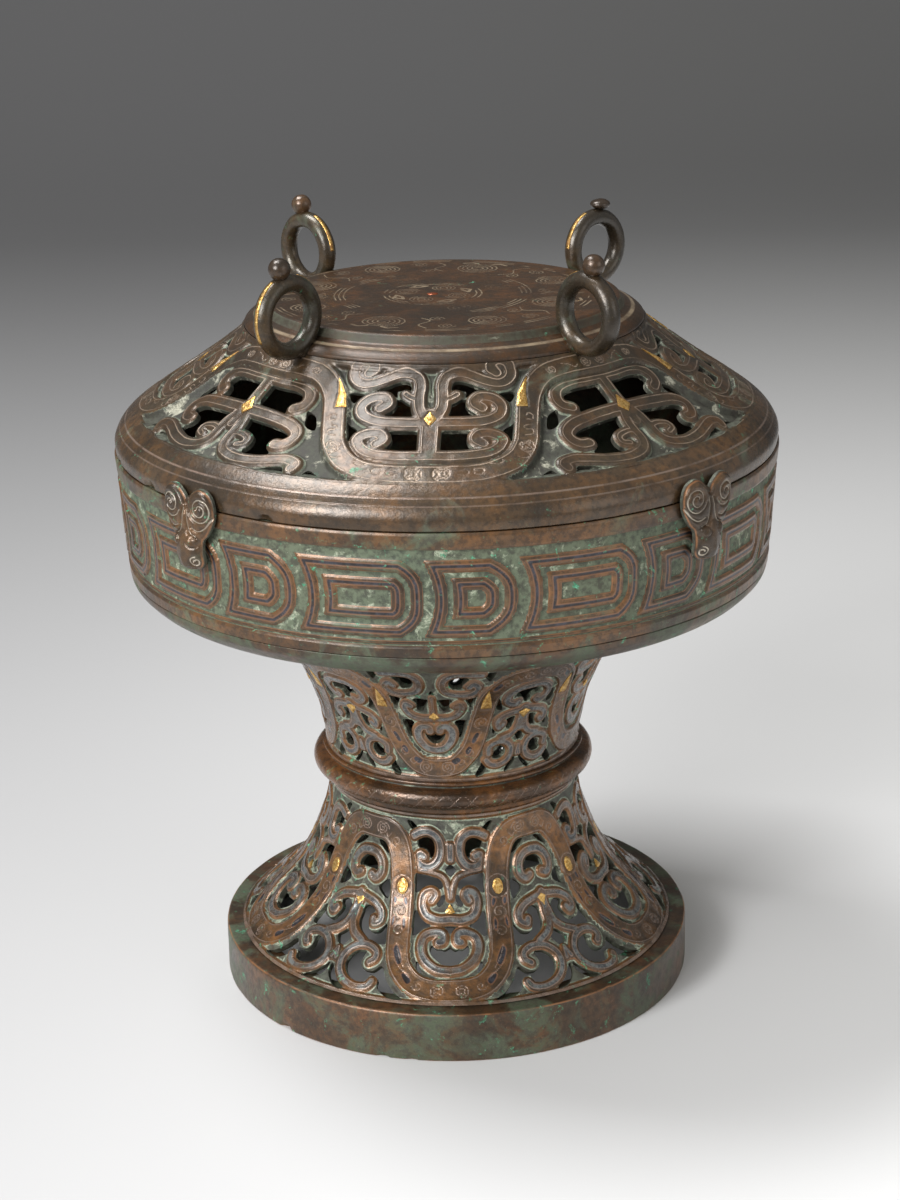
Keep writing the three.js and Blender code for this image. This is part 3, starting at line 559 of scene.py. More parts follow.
def bronze(name, brown="4d3f30", red="5f422b", dark="282119", green="4a5344", greening=0.4,
           pale_recess=0.35, malachite=0.4, inlay="none", stripe=0.0, copper_edges=0.0, roughness=0.36,
           metallic=0.35, rim_line=0.0, ground=("2a2b24", "4c5145"), deposit=("7f8d79", "b3baa4"),
           lining=("9c8476", "8a7c72"), line_share=0.7, waxed=0.3, line_width=0.36, line_kept=0.22):
    """Patinated bronze. The fields on the mesh place inlaid bands, lines and the deposits in recesses.

    stripe is the distance inside an edge of a pair of fine lines, and 0 leaves them out.
    inlay is none, slate (a broad band inside the lines) or dark (in the patches only).
    """
    n = Nodes(name)
    depth, line, patch = n.field("depth"), n.field("line"), n.field("patch")

    broad = n.noise(24, 3, 0.6)
    middle = n.noise(80, 5, 0.62, offset=(3.1, 1.7, 5.2))
    fine = n.noise(380, 6, 0.68, offset=(7.3, 2.9, 1.1))
    grain = n.noise(1500, 4, 0.65, offset=(1.3, 9.2, 4.4))
    blotch = n.noise(42, 7, 0.66, 0.8, offset=(11.0, 3.0, 8.0))

    # The metal: brown to red, darker in broad clouds, greener in blotches, flecked
    colour = n.blend(middle, 0.38, 0.64, brown, red)
    colour = n.over(colour, dark, n.span(broad, 0.4, 0.66), 0.8)
    greened = n.span(blotch, 0.66 - 0.3 * greening, 0.78 - 0.26 * greening)
    colour = n.over(colour, n.blend(fine, 0.35, 0.65, green, "66705c"), greened, 0.8)
    colour = n.over(colour, "2a231b", n.span(fine, 0.42, 0.62), 0.6)
    colour = n.over(colour, "a08c72", n.span(grain, 0.6, 0.74), 0.3)

    # Inlay
    ragged = n.noise(230, 4, 0.6, offset=(2.0, 5.0, 1.0))
    edge = n.math("ADD", depth, n.math("MULTIPLY_ADD", ragged, 0.44, -0.22))
    if inlay == "slate":
        off_strap = n.math("SUBTRACT", 1.0, n.field("strap"))
        band = n.times(n.span(edge, stripe, stripe + 0.22), off_strap)
        kept = n.span(n.noise(120, 5, 0.62, offset=(4.0, 4.0, 9.0)), 0.62, 0.42, 0.35, 0.95)
        colour = n.over(colour, n.blend(fine, 0.38, 0.62, "44474a", "757876"), band, kept)
    if inlay != "none":
        filled = n.span(patch, -0.12, 0.12)
        colour = n.over(colour, n.blend(fine, 0.38, 0.66, "191a1f", "3b3d46"), filled, 0.95)

    # Fine lines, worn away in places
    lines = n.span(line, line_width, line_width / 3)
    if stripe:
        lines = n.math("MAXIMUM", lines, n.near(edge, stripe, 0.3, 0.1))
    kept = n.span(n.noise(110, 4, 0.62, offset=(9.0, 1.0, 3.0)), 0.32, 0.55, line_kept, 0.9)
    lines = n.times(lines, kept)
    colour = n.over(colour, n.blend(middle, 0.4, 0.6, *lining), lines, line_share)
    if inlay != "none":
        colour = n.over(colour, "96694a", n.near(patch, 0.0, 0.4, 0.1), 0.45)

    # Copper along raised edges, in patches: rubbed metal, and on the clasps partly a painted highlight.
    if copper_edges:
        worn = n.span(n.noise(140, 4, 0.6, offset=(6.0, 2.0, 7.0)), 0.35, 0.6, 0.15, 1.0)
        colour = n.over(colour, "94653f", n.times(n.near(depth, 0.3, 0.34, 0.05), worn), copper_edges)

    # Recesses and the walls of the piercings hold dull green and pale deposits
    low = n.span(depth, 0.1, -0.45)
    grime = n.blend(fine, 0.38, 0.6, *ground)
    pale = n.noise(150, 5, 0.66, 0.5, offset=(8.0, 8.0, 1.0))
    pale = n.span(pale, 0.66 - 0.3 * pale_recess, 0.74 - 0.24 * pale_recess)
    grime = n.over(grime, n.blend(grain, 0.4, 0.6, *deposit), pale, 0.85)
    colour = n.over(colour, grime, low, 0.92)
    if rim_line:
        seam = n.span(n.noise(95, 5, 0.66, offset=(1.0, 6.0, 6.0)), 0.38, 0.56, 0.1, 1.0)
        seam = n.times(n.near(edge, -0.28, 0.42, 0.12), seam)
        colour = n.over(colour, n.blend(grain, 0.35, 0.65, "77907d", "bcbfa9"), seam, rim_line)

    # Bright corrosion in spots, mostly in and near recesses
    spots = n.span(n.noise(210, 7, 0.72, 0.6, offset=(5.0, 8.0, 2.0)), 0.6, 0.67)
    where = n.noise(33, 4, 0.6, offset=(2.0, 7.0, 3.0))
    where = n.span(where, 0.6 - 0.2 * malachite, 0.68 - 0.16 * malachite)
    spots = n.times(n.times(spots, n.span(depth, 2.2, -0.3, 0.62, 1.0)), where)
    colour = n.over(colour, n.blend(grain, 0.4, 0.62, "267c5a", "6cc49c"), spots, 0.9)

    # Deposits are dull and rough, and only clean metal is waxed
    dull = n.math("MAXIMUM", low, n.math("MAXIMUM", spots, n.times(greened, 0.55)))
    rough = n.math("MULTIPLY_ADD", dull, 0.34, roughness)
    rough = n.math("MULTIPLY_ADD", n.math("SUBTRACT", fine, 0.5), 0.35, rough, clamp=True)
    height = n.math("ADD", n.times(fine, 0.6), n.times(grain, 0.2))
    height = n.math("ADD", height, n.times(middle, 0.9))
    height = n.math("SUBTRACT", height, n.times(lines, 0.45))
    bump = n.add("ShaderNodeBump", {"Height": height, "Strength": 0.42, "Distance": 0.0005}).outputs[0]
    return n.shade(
        Base_Color=colour, Metallic=n.math("MULTIPLY_ADD", dull, -metallic, metallic), Roughness=rough,
        Normal=bump, Coat_Weight=n.math("MULTIPLY_ADD", dull, -waxed, waxed), Coat_Normal=bump,
        Coat_Roughness=0.3, Specular_IOR_Level=0.6,
    )


def gold_material():
    n = Nodes("gold_leaf")
    crumple = n.noise(420, 4, 0.6, 0.8)
    fine = n.noise(1400, 4, 0.6, offset=(3.0, 1.0, 2.0))
    dirt = n.span(crumple, 0.52, 0.66)
    colour = n.over(n.blend(fine, 0.35, 0.65, "b98a42", "e4c07c"), "6b3d1c", dirt, 0.65)
    height = n.math("ADD", crumple, n.times(fine, 0.3))
    bump = n.add("ShaderNodeBump", {"Height": height, "Strength": 0.6, "Distance": 0.0006}).outputs[0]
    return n.shade(
        Base_Color=colour, Metallic=n.math("MULTIPLY_ADD", dirt, -0.5, 0.9),
        Roughness=n.math("MULTIPLY_ADD", dirt, 0.3, 0.3), Normal=bump,
    )


OPENWORK = bronze("openwork_bronze", brown="4d3f2c", red="5f442a", stripe=1.5, greening=0.3,
                  pale_recess=0.4, rim_line=0.45, ground=("25251f", "3d3f35"), deposit=("858575", "b9b7a5"),
                  lining=("a8937f", "8c7b6c"), line_share=0.75)
FOOT_BRONZE = bronze("foot_bronze", brown="6b4e30", red="8a5e33", inlay="slate", stripe=1.25, greening=0.2,
                     copper_edges=0.6, rim_line=0.75, metallic=0.36, roughness=0.27, malachite=0.8,
                     pale_recess=0.4)
COLLAR_BRONZE = bronze("collar_bronze", brown="7a5334", red="93602f", greening=0.15, roughness=0.27,
                       malachite=0.8, metallic=0.5)
GREEN = bronze("green_bronze_plain", brown="55412d", red="6c492c", green="43543e", greening=0.72,
               malachite=1.6, copper_edges=0.8, roughness=0.4)
DARK = bronze("dark_bronze_plain", brown="3f3829", red="523f29", dark="25211a", green="394031",
              greening=0.42, roughness=0.27)
KNOB = bronze("knob_bronze", brown="4a3929", red="61452c", greening=0.25, roughness=0.25)
GOLD = gold_material()


def dress(piece, material, body, slot, *nodes):
    """Gives a piece its material and its body, and hides the CAD nodes that it replaces. slot is not used.
    """
    piece.data.materials.clear()
    piece.data.materials.append(material)
    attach(piece, body)
    if nodes:
        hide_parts(*nodes)


# Pierced walls: drawings of half a repeat each, as (column, row) points. A column is about one degree
# and a row about one millimetre. "crest" drawings count columns from the middle of the strap's crest.

LID_STRAP = [(0, 47.2), (9.5, 46.5), (15.2, 42.6), (18.4, 36), (20, 29), (21.6, 21), (23.4, 14.5),
             (26, 9.6), (30, 6), (36, 4.7), (45, 4.6)]
LID_TROUGH_BANDS = [
    (8.2, [(0, 21), (0, 28), (0, 36)]),
    (6.2, [(1.6, 21), (2.7, 17), (2.9, 12), (2.8, 8), (3.8, 4.4), (6.6, 2.9), (9.6, 3.7), (13, 6.2),
           (16.4, 7.9), (19.2, 6.6), (20.6, 3.4), (19.8, 0.2), (17.2, -0.9), (15.2, 1.2), (16.6, 3.4)]),
    (4.6, [(3.0, 14), (4.8, 13.2), (6.2, 11.8)]),
    (6.2, [(1.5, 23.8), (7, 23.9), (11.5, 23.6), (14.9, 21.4), (15.9, 17.6), (14.3, 14.2), (11.5, 13.3),
           (10.1, 15.8), (11.5, 18.0)]),
    (6.2, [(0, 38.4), (3.5, 38.5), (7, 38.4), (11.4, 37.4), (14.1, 34), (14.1, 30.8), (12.1, 28.9),
           (10.2, 29.1), (9.3, 31.2), (10.5, 33.3)]),
]
LID_CREST_BANDS = [
    (6.2, [(0, 8), (0, 20), (0, 33)]),
    (6.2, [(0, 10.6), (5, 10.8), (10, 11), (13.8, 12.7), (15.4, 16.4), (14.9, 20), (12.9, 21.8)]),
    (6.2, [(0, 25.8), (5, 26), (10, 26.8), (14.4, 28.4), (16.9, 31.4), (17, 34.8), (15.4, 37.6),
           (13.7, 37.8)]),
    (6.0, [(1.2, 28), (2.0, 32), (2.2, 36), (2.2, 41), (3.6, 44.8), (7.4, 46.8), (11.6, 46.2), (15, 44.6),
           (18, 43.6), (20.4, 45), (20, 47.2)]),
    (4.6, [(2.4, 36.6), (4.4, 36.2), (6.6, 37.4), (6.8, 40), (5.4, 41.2)]),
]
LID_HOLES = [
    [(5.2, 7.6), (6.8, 5.0), (9.6, 6.0), (13.4, 9.4), (12.0, 12.8), (8.4, 13.0), (8.4, 9.8), (5.4, 10.2)],
    [(3.4, 14.6), (8.0, 13.6), (10.2, 16.4), (10.4, 19.4), (13.0, 21.8), (4.8, 21.9), (3.4, 20.2)],
    [(2.0, 27.6), (8.0, 27.2), (9.8, 30.4), (9.6, 33.8), (12.0, 36.6), (3.8, 36.8), (2.0, 35)],
    [(15.2, 27.6), (18.0, 25.6), (17.2, 30.6), (16.0, 35.0)],
    [(15.4, 12.2), (20.2, 11.4), (18.4, 15.6)],
    [(43.0, 15.4), (42.0, 12.2), (38.0, 12.0), (33.4, 14.0), (31.0, 17.6), (33.4, 20.4), (33.6, 24.4),
     (38.4, 24.4), (42.6, 22.2)],
    [(42.2, 29.8), (41.0, 27.4), (36.2, 27.2), (30.4, 29.6), (28.6, 33.2), (32.2, 36.8), (31.6, 41.4),
     (33.2, 45.4), (37.6, 45.2), (37.4, 37.4), (39.4, 34.4), (41.8, 34.6)],
    [(28.6, 21.6), (26.0, 23.2), (24.6, 28.8), (27.4, 27.6)],
    [(21.8, 46.2), (18.4, 51.0), (22.8, 51.0)],
    [(32.4, 50.8), (30.8, 48.4), (27.2, 46.4), (27.0, 50.8)],
]
LID_LINES = [
    spiral((2.6, 46.8), 3.4, 3.2, 90, 1, 0.52), spiral((18.4, 36.4), 3.0, 2.6, -60, 1, 0.56),
    [(5.4, 45.6), (6.6, 45.0), (7.2, 46.4), (6.2, 47.6), (5.2, 47.2)],
    [(8.2, 44.6), (9.8, 45.2), (9.2, 47.4), (8.0, 46.6), (8.2, 44.6)],
    [(11, 43), (12.6, 43.4), (13.6, 42.4), (13.2, 41.4)],
    [(16.2, 40.4), (17.4, 41.4), (18.6, 40.6), (18.2, 39.4)],
    [(19.0, 31.6), (20.6, 31.4), (20.8, 29.4), (19.6, 29.2), (19.4, 27.8), (20.8, 27.2)],
    [(20.2, 24.8), (21.6, 25.4), (22.0, 23.4), (21.0, 22.4), (20.6, 23.6)],
    spiral((31.5, 5.2), 2.0, 1.8, 200, -1, 0.72), spiral((42.4, 4.6), 2.2, 2.0, 0, 1, 0.75),
    [(35, 3.6), (37, 4.4), (38.4, 6.0), (39.6, 5.0)],
]
LID_PATCHES = [[(20.4, 31.0), (21.6, 27.6), (20.8, 26.4), (20.0, 28.8)]]

NECK_STRAP = [(0, 64.2), (5, 63.8), (9.5, 62), (14.6, 56), (17, 49), (18.4, 41), (19.6, 33), (21.2, 27.5),
              (25, 22.5), (30, 20), (36, 19.4)]
NECK_TROUGH_BANDS = [
    (4.6, [(16.5, 17), (12, 16.4), (7.6, 16.6), (4.6, 18.8), (3.8, 22.8), (5.4, 26.6), (9.6, 28.2),
           (13.8, 27.4), (15.8, 24.4), (14.2, 21.6), (12.6, 23.4)]),
    (3.2, [(0, 30), (0, 42)]),
    (4.4, [(0, 41.2), (4.6, 41.4), (8.4, 40), (10.5, 36.6), (9.8, 33.6), (8.2, 34.8)]),
    (5.0, [(0, 56.4), (3.8, 55.3), (6.6, 51.8), (7, 48), (5, 45.4), (2.4, 45.8), (2, 47.6)]),
    (3.0, [(10.5, 30.2), (15.2, 29.0)]),
]
NECK_CREST_BANDS = [
    (4.6, [(0, 27), (4.4, 27.6), (8, 30.6), (8.4, 34.6), (5.4, 36.8), (3.8, 35.8)]),
    (4.2, [(0, 40.4), (4.4, 41), (8.6, 42.4), (10.8, 45), (9.8, 47.8), (8.4, 46.4)]),
    (5.6, [(0, 40), (0.4, 46), (1.0, 48.4)]),
    (4.2, [(1.2, 48.0), (4, 51.4), (8.6, 53)]),
    (4.2, [(13.6, 59.2), (13.4, 56), (9.6, 54.2), (5.4, 55.2), (3.4, 58.6), (4.6, 62.4), (8.4, 64.4),
           (12.4, 64), (14.6, 61.8)]),
    (3.4, [(0, 57), (0.6, 61)]),
]
NECK_HOLES = [
    [(5.4, 20.4), (8.0, 18.0), (12.2, 18.6), (12.0, 22.6), (7.6, 25.4)],
    [(17.4, 17.4), (21.0, 16.2), (19.4, 20.8)],
    [(15.8, 29.2), (11.6, 30.6), (14.2, 36.2)],
    [(1.6, 31.6), (6.8, 31.0), (7.0, 35.4), (4.0, 37.4)],
    [(8.0, 43.6), (12.6, 42.6), (11.6, 48.0), (9.9, 51.2)],
    [(29.2, 44.6), (33.0, 43.8), (32.2, 49.4), (29.2, 48.2)],
    [(24.6, 33.2), (23.6, 37.8), (26.4, 38.8)],
    [(23.8, 44.6), (26.8, 47.8), (23.6, 50.4)],
    [(24.0, 60.6), (27.2, 56.6), (30.6, 56.0), (30.4, 60.0), (27.2, 62.2)],
    [(16.4, 67.8), (21.4, 60.8), (23.4, 61.8), (20.2, 68.0)],
    [(29.6, 67.4), (34.2, 62.2), (35.0, 63.6), (31.6, 67.6)],
]
NECK_MIDDLE_HOLES = [
    (0, [(0, 49.2), (4.2, 49.0), (2.6, 52.4), (0, 54.0)]), (0, [(0, 25.6), (1.2, 28.8), (0, 29)]),
    (36, [(0, 29.6), (4.2, 29.6), (5.2, 32.4), (2.6, 34.6), (0, 37)]),
    (36, [(0, 50.0), (2.0, 52.2), (0, 55.4)]),
]
NECK_LINES = [
    spiral((4.6, 63.8), 3.0, 2.2, 90, -1, 1.1), spiral((18.4, 43.6), 3.2, 1.6, 90, 1, 1.0),
    [(12.2, 58.2), (14.4, 59.2), (15.6, 57.4), (14.2, 56.0), (13.2, 57.4)],
    [(8.6, 61.6), (10.4, 62.8), (12.0, 61.4), (10.8, 60.4)],
    [(16.6, 51.6), (18.0, 50.0), (18.8, 47.6)],
    spiral((25.6, 23.0), 2.6, 1.5, 180, 1, 0.9), spiral((33.0, 19.6), 2.4, 1.6, 0, 1, 0.9),
    [(28.6, 19.4), (29.8, 21.2), (31.0, 20.0)],
]
NECK_PATCHES = [
    [(14.6, 52.4), (16.6, 48.4), (18.0, 49.6), (16.0, 53.4)],
    [(12.0, 57.0), (13.6, 54.6), (15.2, 56.0), (13.4, 58.6)],
    [(6.0, 61.0), (9.0, 59.4), (10.4, 61.0), (8.0, 62.8)],
    [(20.6, 25.4), (23.0, 22.4), (24.2, 24.0), (22.0, 26.8)],
]

SKIRT_STRAP = [(0, 69.2), (4.5, 69), (9.5, 67), (13.6, 62), (15.8, 56), (17, 48), (18, 38), (18.8, 29),
               (19.6, 22), (21.4, 16), (24.5, 11), (29, 8.4), (36, 8.1)]
SKIRT_TROUGH_BANDS = [
    (4.6, [(16, 9.6), (12.5, 7.9), (8.6, 7.7), (5.2, 9.8), (4, 13.6), (4.8, 17.8), (7.6, 20.6),
           (11.2, 20.6), (13.6, 18.4), (12.6, 16.4), (11, 17)]),
    (3.6, [(0.4, 18), (0.6, 12.4)]),
    (3.2, [(14, 22), (7.4, 22.8), (2.8, 24.6), (1.0, 28.4), (0.2, 33)]),
    (4.7, [(0, 40.9), (4.4, 41.1), (8.4, 39.4), (10.2, 35.4), (9.6, 31.6), (7.2, 30.2), (5.8, 31.6),
           (7.0, 33.8)]),
    (4.8, [(0, 61.3), (4, 60.2), (7.6, 56.4), (9.1, 51.6), (8.4, 47.6), (5.4, 45.8), (2.6, 46.4),
           (2.4, 49.2), (3.6, 49.6)]),
]
SKIRT_CREST_BANDS = [
    (4.8, [(0, 17.8), (3.6, 18.5), (6.6, 21.4), (7.2, 25.6), (5, 28.2), (2.9, 27.4)]),
    (4.4, [(0, 35.4), (4, 36.2), (7.8, 37.6), (10.6, 40.4), (11, 43.6), (9, 45.2), (8.2, 43.4)]),
    (5.2, [(0, 35), (0, 44)]),
    (4.6, [(0.6, 42), (1.0, 46.4), (3.2, 50.2), (7, 53)]),
    (4.4, [(12.0, 60.6), (13.4, 58.8), (13, 55.8), (9.6, 54), (5.6, 55.2), (3, 59.4), (3.2, 64.6),
           (5.8, 69), (9.8, 71), (13.2, 70.2), (14.4, 67.8)]),
    (3.6, [(0, 58), (0.8, 62)]),
]
SKIRT_HOLES = [
    [(14.6, 6.4), (17.6, 3.8), (19.6, 4.2), (16.2, 8.6)],
    [(5.6, 16.2), (6.0, 12.0), (9.6, 9.0), (14.4, 11.0), (13.4, 14.0), (9.8, 14.6), (8.2, 17.4)],
    [(2.0, 26.0), (6.6, 23.4), (13.4, 22.8), (13.4, 31.0), (9.4, 29.0), (4.0, 29.4)],
    [(2.0, 31.4), (5.4, 33.2), (4.2, 36.2), (2.4, 34.6)],
    [(6.6, 42.6), (12.8, 37.8), (12.4, 47.4), (9.0, 44.6)],
    [(9.2, 57.4), (10.0, 58.0), (8.8, 62.6), (7.9, 62.2)],
    [(26.6, 17.8), (29.0, 14.2), (33.2, 12.8), (32.2, 14.6), (29.2, 16.8)],
    [(24.6, 27.6), (29.0, 31.2), (24.2, 35.0)],
    [(34.0, 42.0), (31.8, 39.0), (28.0, 39.4), (29.2, 42.6), (28.8, 46.4), (27.4, 48.4), (24.4, 47.8),
     (22.2, 44.2), (21.0, 52.4), (26.6, 51.8), (31.2, 49.8), (34.0, 46.0)],
    [(32.2, 60.2), (30.0, 56.2), (26.2, 56.0), (26.6, 60.8), (25.2, 63.6), (22.2, 63.8), (19.8, 61.2),
     (17.6, 66.4), (14.8, 70.6), (11.8, 73.4), (15.6, 73.6), (19.4, 70.4), (20.8, 66.4), (22.6, 65.4),
     (23.8, 68.6), (26.8, 69.4), (30.4, 66.4)],
    [(35.6, 64.4), (33.8, 66.8), (29.0, 73.2), (32.0, 73.2), (35.4, 68.6)],
]
SKIRT_MIDDLE_HOLES = [
    (0, [(0, 19.6), (2.2, 21.9), (0, 24.4)]),
    (0, [(0, 51.4), (1.8, 52.4), (5.4, 50.4), (6.0, 53.6), (2.8, 57.8), (0, 59)]),
    (0, [(0, 43.2), (3.0, 43.0), (0, 46.0)]),
    (36, [(0, 19.8), (3.2, 21.4), (5.4, 25.0), (0, 25.0)]), (36, [(0, 49.8), (2.6, 52.6), (0, 57.2)]),
]
SKIRT_LINES = [
    spiral((3.1, 69.4), 2.7, 2.3, 90, -1, 0.75), spiral((8.6, 67.6), 2.0, 1.2, 0, 1, 0.75),
    spiral((18.8, 29.2), 4.4, 0.98, 90, 1, 1.0, 0.98), spiral((18.0, 38.8), 3.0, 1.5, 90, -1, 1.0),
    spiral((17.2, 46.2), 2.6, 1.4, 200, 1, 1.0),
    [(13.2, 60.6), (15.4, 56.4), (17.0, 51.6)], [(11.2, 64.2), (14.2, 61.2), (16.2, 58.6)],
    spiral((31.4, 8.2), 2.8, 2.3, 180, 1, 1.25), spiral((23.6, 12.4), 2.2, 1.3, 90, -1, 1.1),
    [(26.4, 9.6), (28.0, 11.2), (29.0, 10.0)],
]
SKIRT_PATCHES = [
    [(14.0, 58.0), (16.4, 52.0), (17.6, 54.0), (15.4, 59.6)],
    [(15.2, 44.0), (16.0, 40.6), (16.8, 42.6), (15.8, 46.0)],
    [(19.4, 43.4), (20.0, 40.4), (20.6, 42.0), (20.2, 45.4)],
    [(10.4, 65.4), (12.2, 62.6), (13.6, 63.4), (11.6, 67.0)],
    [(15.6, 35.4), (16.4, 33.0), (17.6, 34.2), (16.2, 36.6)],
    [(20.2, 36.4), (20.0, 34.2), (21.4, 33.2), (21.4, 35.6)],
]

# Gold: CAD node stem, whether it is whole about an axis, outline
LID_GOLD = [
    ("lid_gold_leaf", None,
     [(24.2, 6.6), (22.4, 13.4), (21.8, 19.4), (19.2, 19), (20.4, 13.6), (22.6, 9.2)], 0.0),
    ("lid_gold_lozenge", 0, [(0, 19), (1.4, 22.2), (0, 25.2)], -0.7),
    ("lid_gold_lozenge", 45, [(0, 20.2), (1.8, 25.2), (0, 28.2)], -0.7),
]
NECK_GOLD = [("neck_gold_drop", None, [(19.6, 26), (18, 32), (17.4, 36.4), (21.6, 36.6), (21, 32)], 0.0)]
SKIRT_GOLD = [
    ("skirt_gold_oval", None,
     [(18.8 + 2.1 * math.cos(a), 29.2 + 3.1 * math.sin(a))
      for a in np.linspace(0, 2 * math.pi, 12, endpoint=False)], 0.0),
    ("skirt_gold_leaf", 36, [(0, 34.8), (2.6, 36.6), (1, 39.2), (0, 41.6)], -0.7),
]
NECK_SMALL_GOLD = [(0, [(0, 37.6), (2.2, 40.6), (0, 42)]),
                   (36, [(0, 40), (2.6, 41.2), (1, 43.4), (0, 44.6)])]
SKIRT_SMALL_GOLD = [(0, [(0, 34.8), (1.9, 38), (0, 38.6)])]


def whole_about(wall, points, middle):
    """Outlines of a shape that is mirrored about a trough (0) or a crest, given by its half."""
    first = 1 if middle else 0
    for i in range(wall.repeats):
        half = 2 * i + first
        axis = wall.turn + half * wall.half
        sided = [(middle - x if first else x, y) for x, y in points]
        near = wall.place(sided, half - first)
        far = near.copy()
        far[:, 0] = 2 * axis - far[:, 0]
        far = [p for p in far[::-1] if abs(p[0] - axis) > 1e-6]
        yield np.array(list(near) + far)


def pierced_wall(name, wall, cad_node, body, material, strap, trough_bands, crest_bands, holes,
                 middle_holes, lines, patches, golds, strap_width, thickness, z_low, z_high, splits,
                 floor=-2.4, level=-0.7, seam=0.0):
    """A pierced wall in as many pieces as splits has numbers of repeats, and the gold on it.

    The drawings are mirrored and repeated round the wall. floor and level are the heights of the ground
    and of the scroll bands, and seam is the depth of the groove along the bands' edges.
    """
    full = wall.shape
    bands = np.full(full, -FAR)
    from_crest = [(width, [(wall.columns - x, y) for x, y in points]) for width, points in crest_bands]
    for width, points in trough_bands + from_crest:
        for copy in wall.copies(smooth_line(points, 5)):
            wall.draw_band(bands, copy, width)
    strap_depth = np.full(full, -FAR)
    for copy in wall.copies(smooth_line(strap, 5)):
        wall.draw_band(strap_depth, copy, strap_width, reach=4)

    open_field = np.full(full, -FAR)
    for points in holes:
        for copy in wall.copies(smooth_line(points, 4, closed=True)):
            wall.draw_patch(open_field, copy)
    for middle, points in middle_holes:
        for outline in whole_about(wall, points, middle):
            wall.draw_patch(open_field, smooth_line(outline, 4, closed=True))

    line_field = np.full(full, FAR)
    for points in lines:
        for copy in wall.copies(smooth_line(points, 3)):
            wall.draw_line(line_field, copy, reach=2)
    patch_field = np.full(full, -FAR)
    for points in patches:
        for copy in wall.copies(smooth_line(points, 3, closed=True)):
            wall.draw_patch(patch_field, copy, reach=1.5)

    # Gold beds, sunk so that the gold pieces lie in them
    bed = np.full(full, -FAR)
    gold_outlines = {}
    for stem, middle, points, gold_level in golds:
        outlines = wall.copies(points) if middle is None else whole_about(wall, points, middle)
        outlines = list(outlines)
        gold_outlines.setdefault(stem, []).extend((outline, gold_level) for outline in outlines)
        for outline in outlines:
            wall.draw_patch(bed, outline, reach=2)

    rows_s = wall.s[:, None] * np.ones(full)
    end_room = np.minimum(rows_s, wall.profile.length - rows_s)
    solid = np.maximum(bands, strap_depth)
    hole = np.minimum(np.minimum(open_field, -solid), end_room - 0.9)

    def height_of(depth, top, drop=0.75):
        up = smooth_step((depth + 0.95) / 1.1)
        crown = 1 - (1 - np.clip(depth / 1.5, 0, 1)) ** 2
        channel = 0.22 * smooth_step((depth - 1.2) / 0.8)
        return floor + (top - drop * (1 - crown) - channel - floor) * up

    height = np.maximum(height_of(bands, level), height_of(strap_depth, 0.12, 0.6))
    groove = np.exp(-((strap_depth + 0.35) / 0.45) ** 2) * (bands > -1)
    height = height - 0.5 * groove * (strap_depth < 0.2)
    height = height - seam * np.exp(-((solid + 0.25) / 0.45) ** 2)
    seat = smooth_step((2.5 - end_room) / 1.2)
    height = height * (1 - seat) + np.maximum(height, 0.05) * seat
    height = height - 0.10 * smooth_step((0.6 - line_field) / 0.5) - 0.12 * smooth_step(patch_field / 0.4)
    bed_floor = np.where(strap_depth > 0, -0.35, level - 0.35)
    height = np.where(bed > -0.4, np.minimum(height, bed_floor), height)

    base = wall.points(0.0)
    height = height + 0.16 * noise(base, 9, 11) + 0.10 * noise(base, 3.4, 12)
    drift_t = 0.32 * noise(base, 15, 21) / wall.radius[:, None]
    drift_s = 0.32 * noise(base, 15, 22) * smooth_step(end_room / 4)
    s_at = rows_s + drift_s
    t_at = wall.t[None, :] + drift_t
    outer = wall.points(height, s_at, t_at)
    inner = wall.points(-thickness + 0.12 * noise(base, 8, 13), s_at, t_at)
    for grid in (outer, inner):
        grid[..., 2] = np.clip(grid[..., 2], z_low, z_high)
    depth = np.where(strap_depth > 0, strap_depth, np.minimum(bands, -strap_depth - 0.1))
    depth = np.maximum(depth, np.minimum(2.3 - end_room, 1.1))
    fields = {
        "depth": depth, "line": np.where(bed > -0.3, FAR, line_field), "patch": patch_field,
        "strap": (strap_depth > 0).astype(float),
    }
    start = 0
    for k, repeats in enumerate(splits):
        stop = start + repeats * wall.per_repeat
        cut = slice(start, stop + 1)
        piece = clipped_shell(f"{name}_{'abcd'[k]}", outer[:, cut], inner[:, cut], hole[:, cut],
                              {key: value[:, cut] for key, value in fields.items()})
        dress(piece, material, body, "brown_bronze", cad_node)
        start = stop

    for stem, outlines in gold_outlines.items():
        for i, (outline, gold_level) in enumerate(outlines):
            gold_piece(f"{stem}_{i + 1}_leaf", wall, outline, gold_level, body, f"{stem}_{i + 1}")


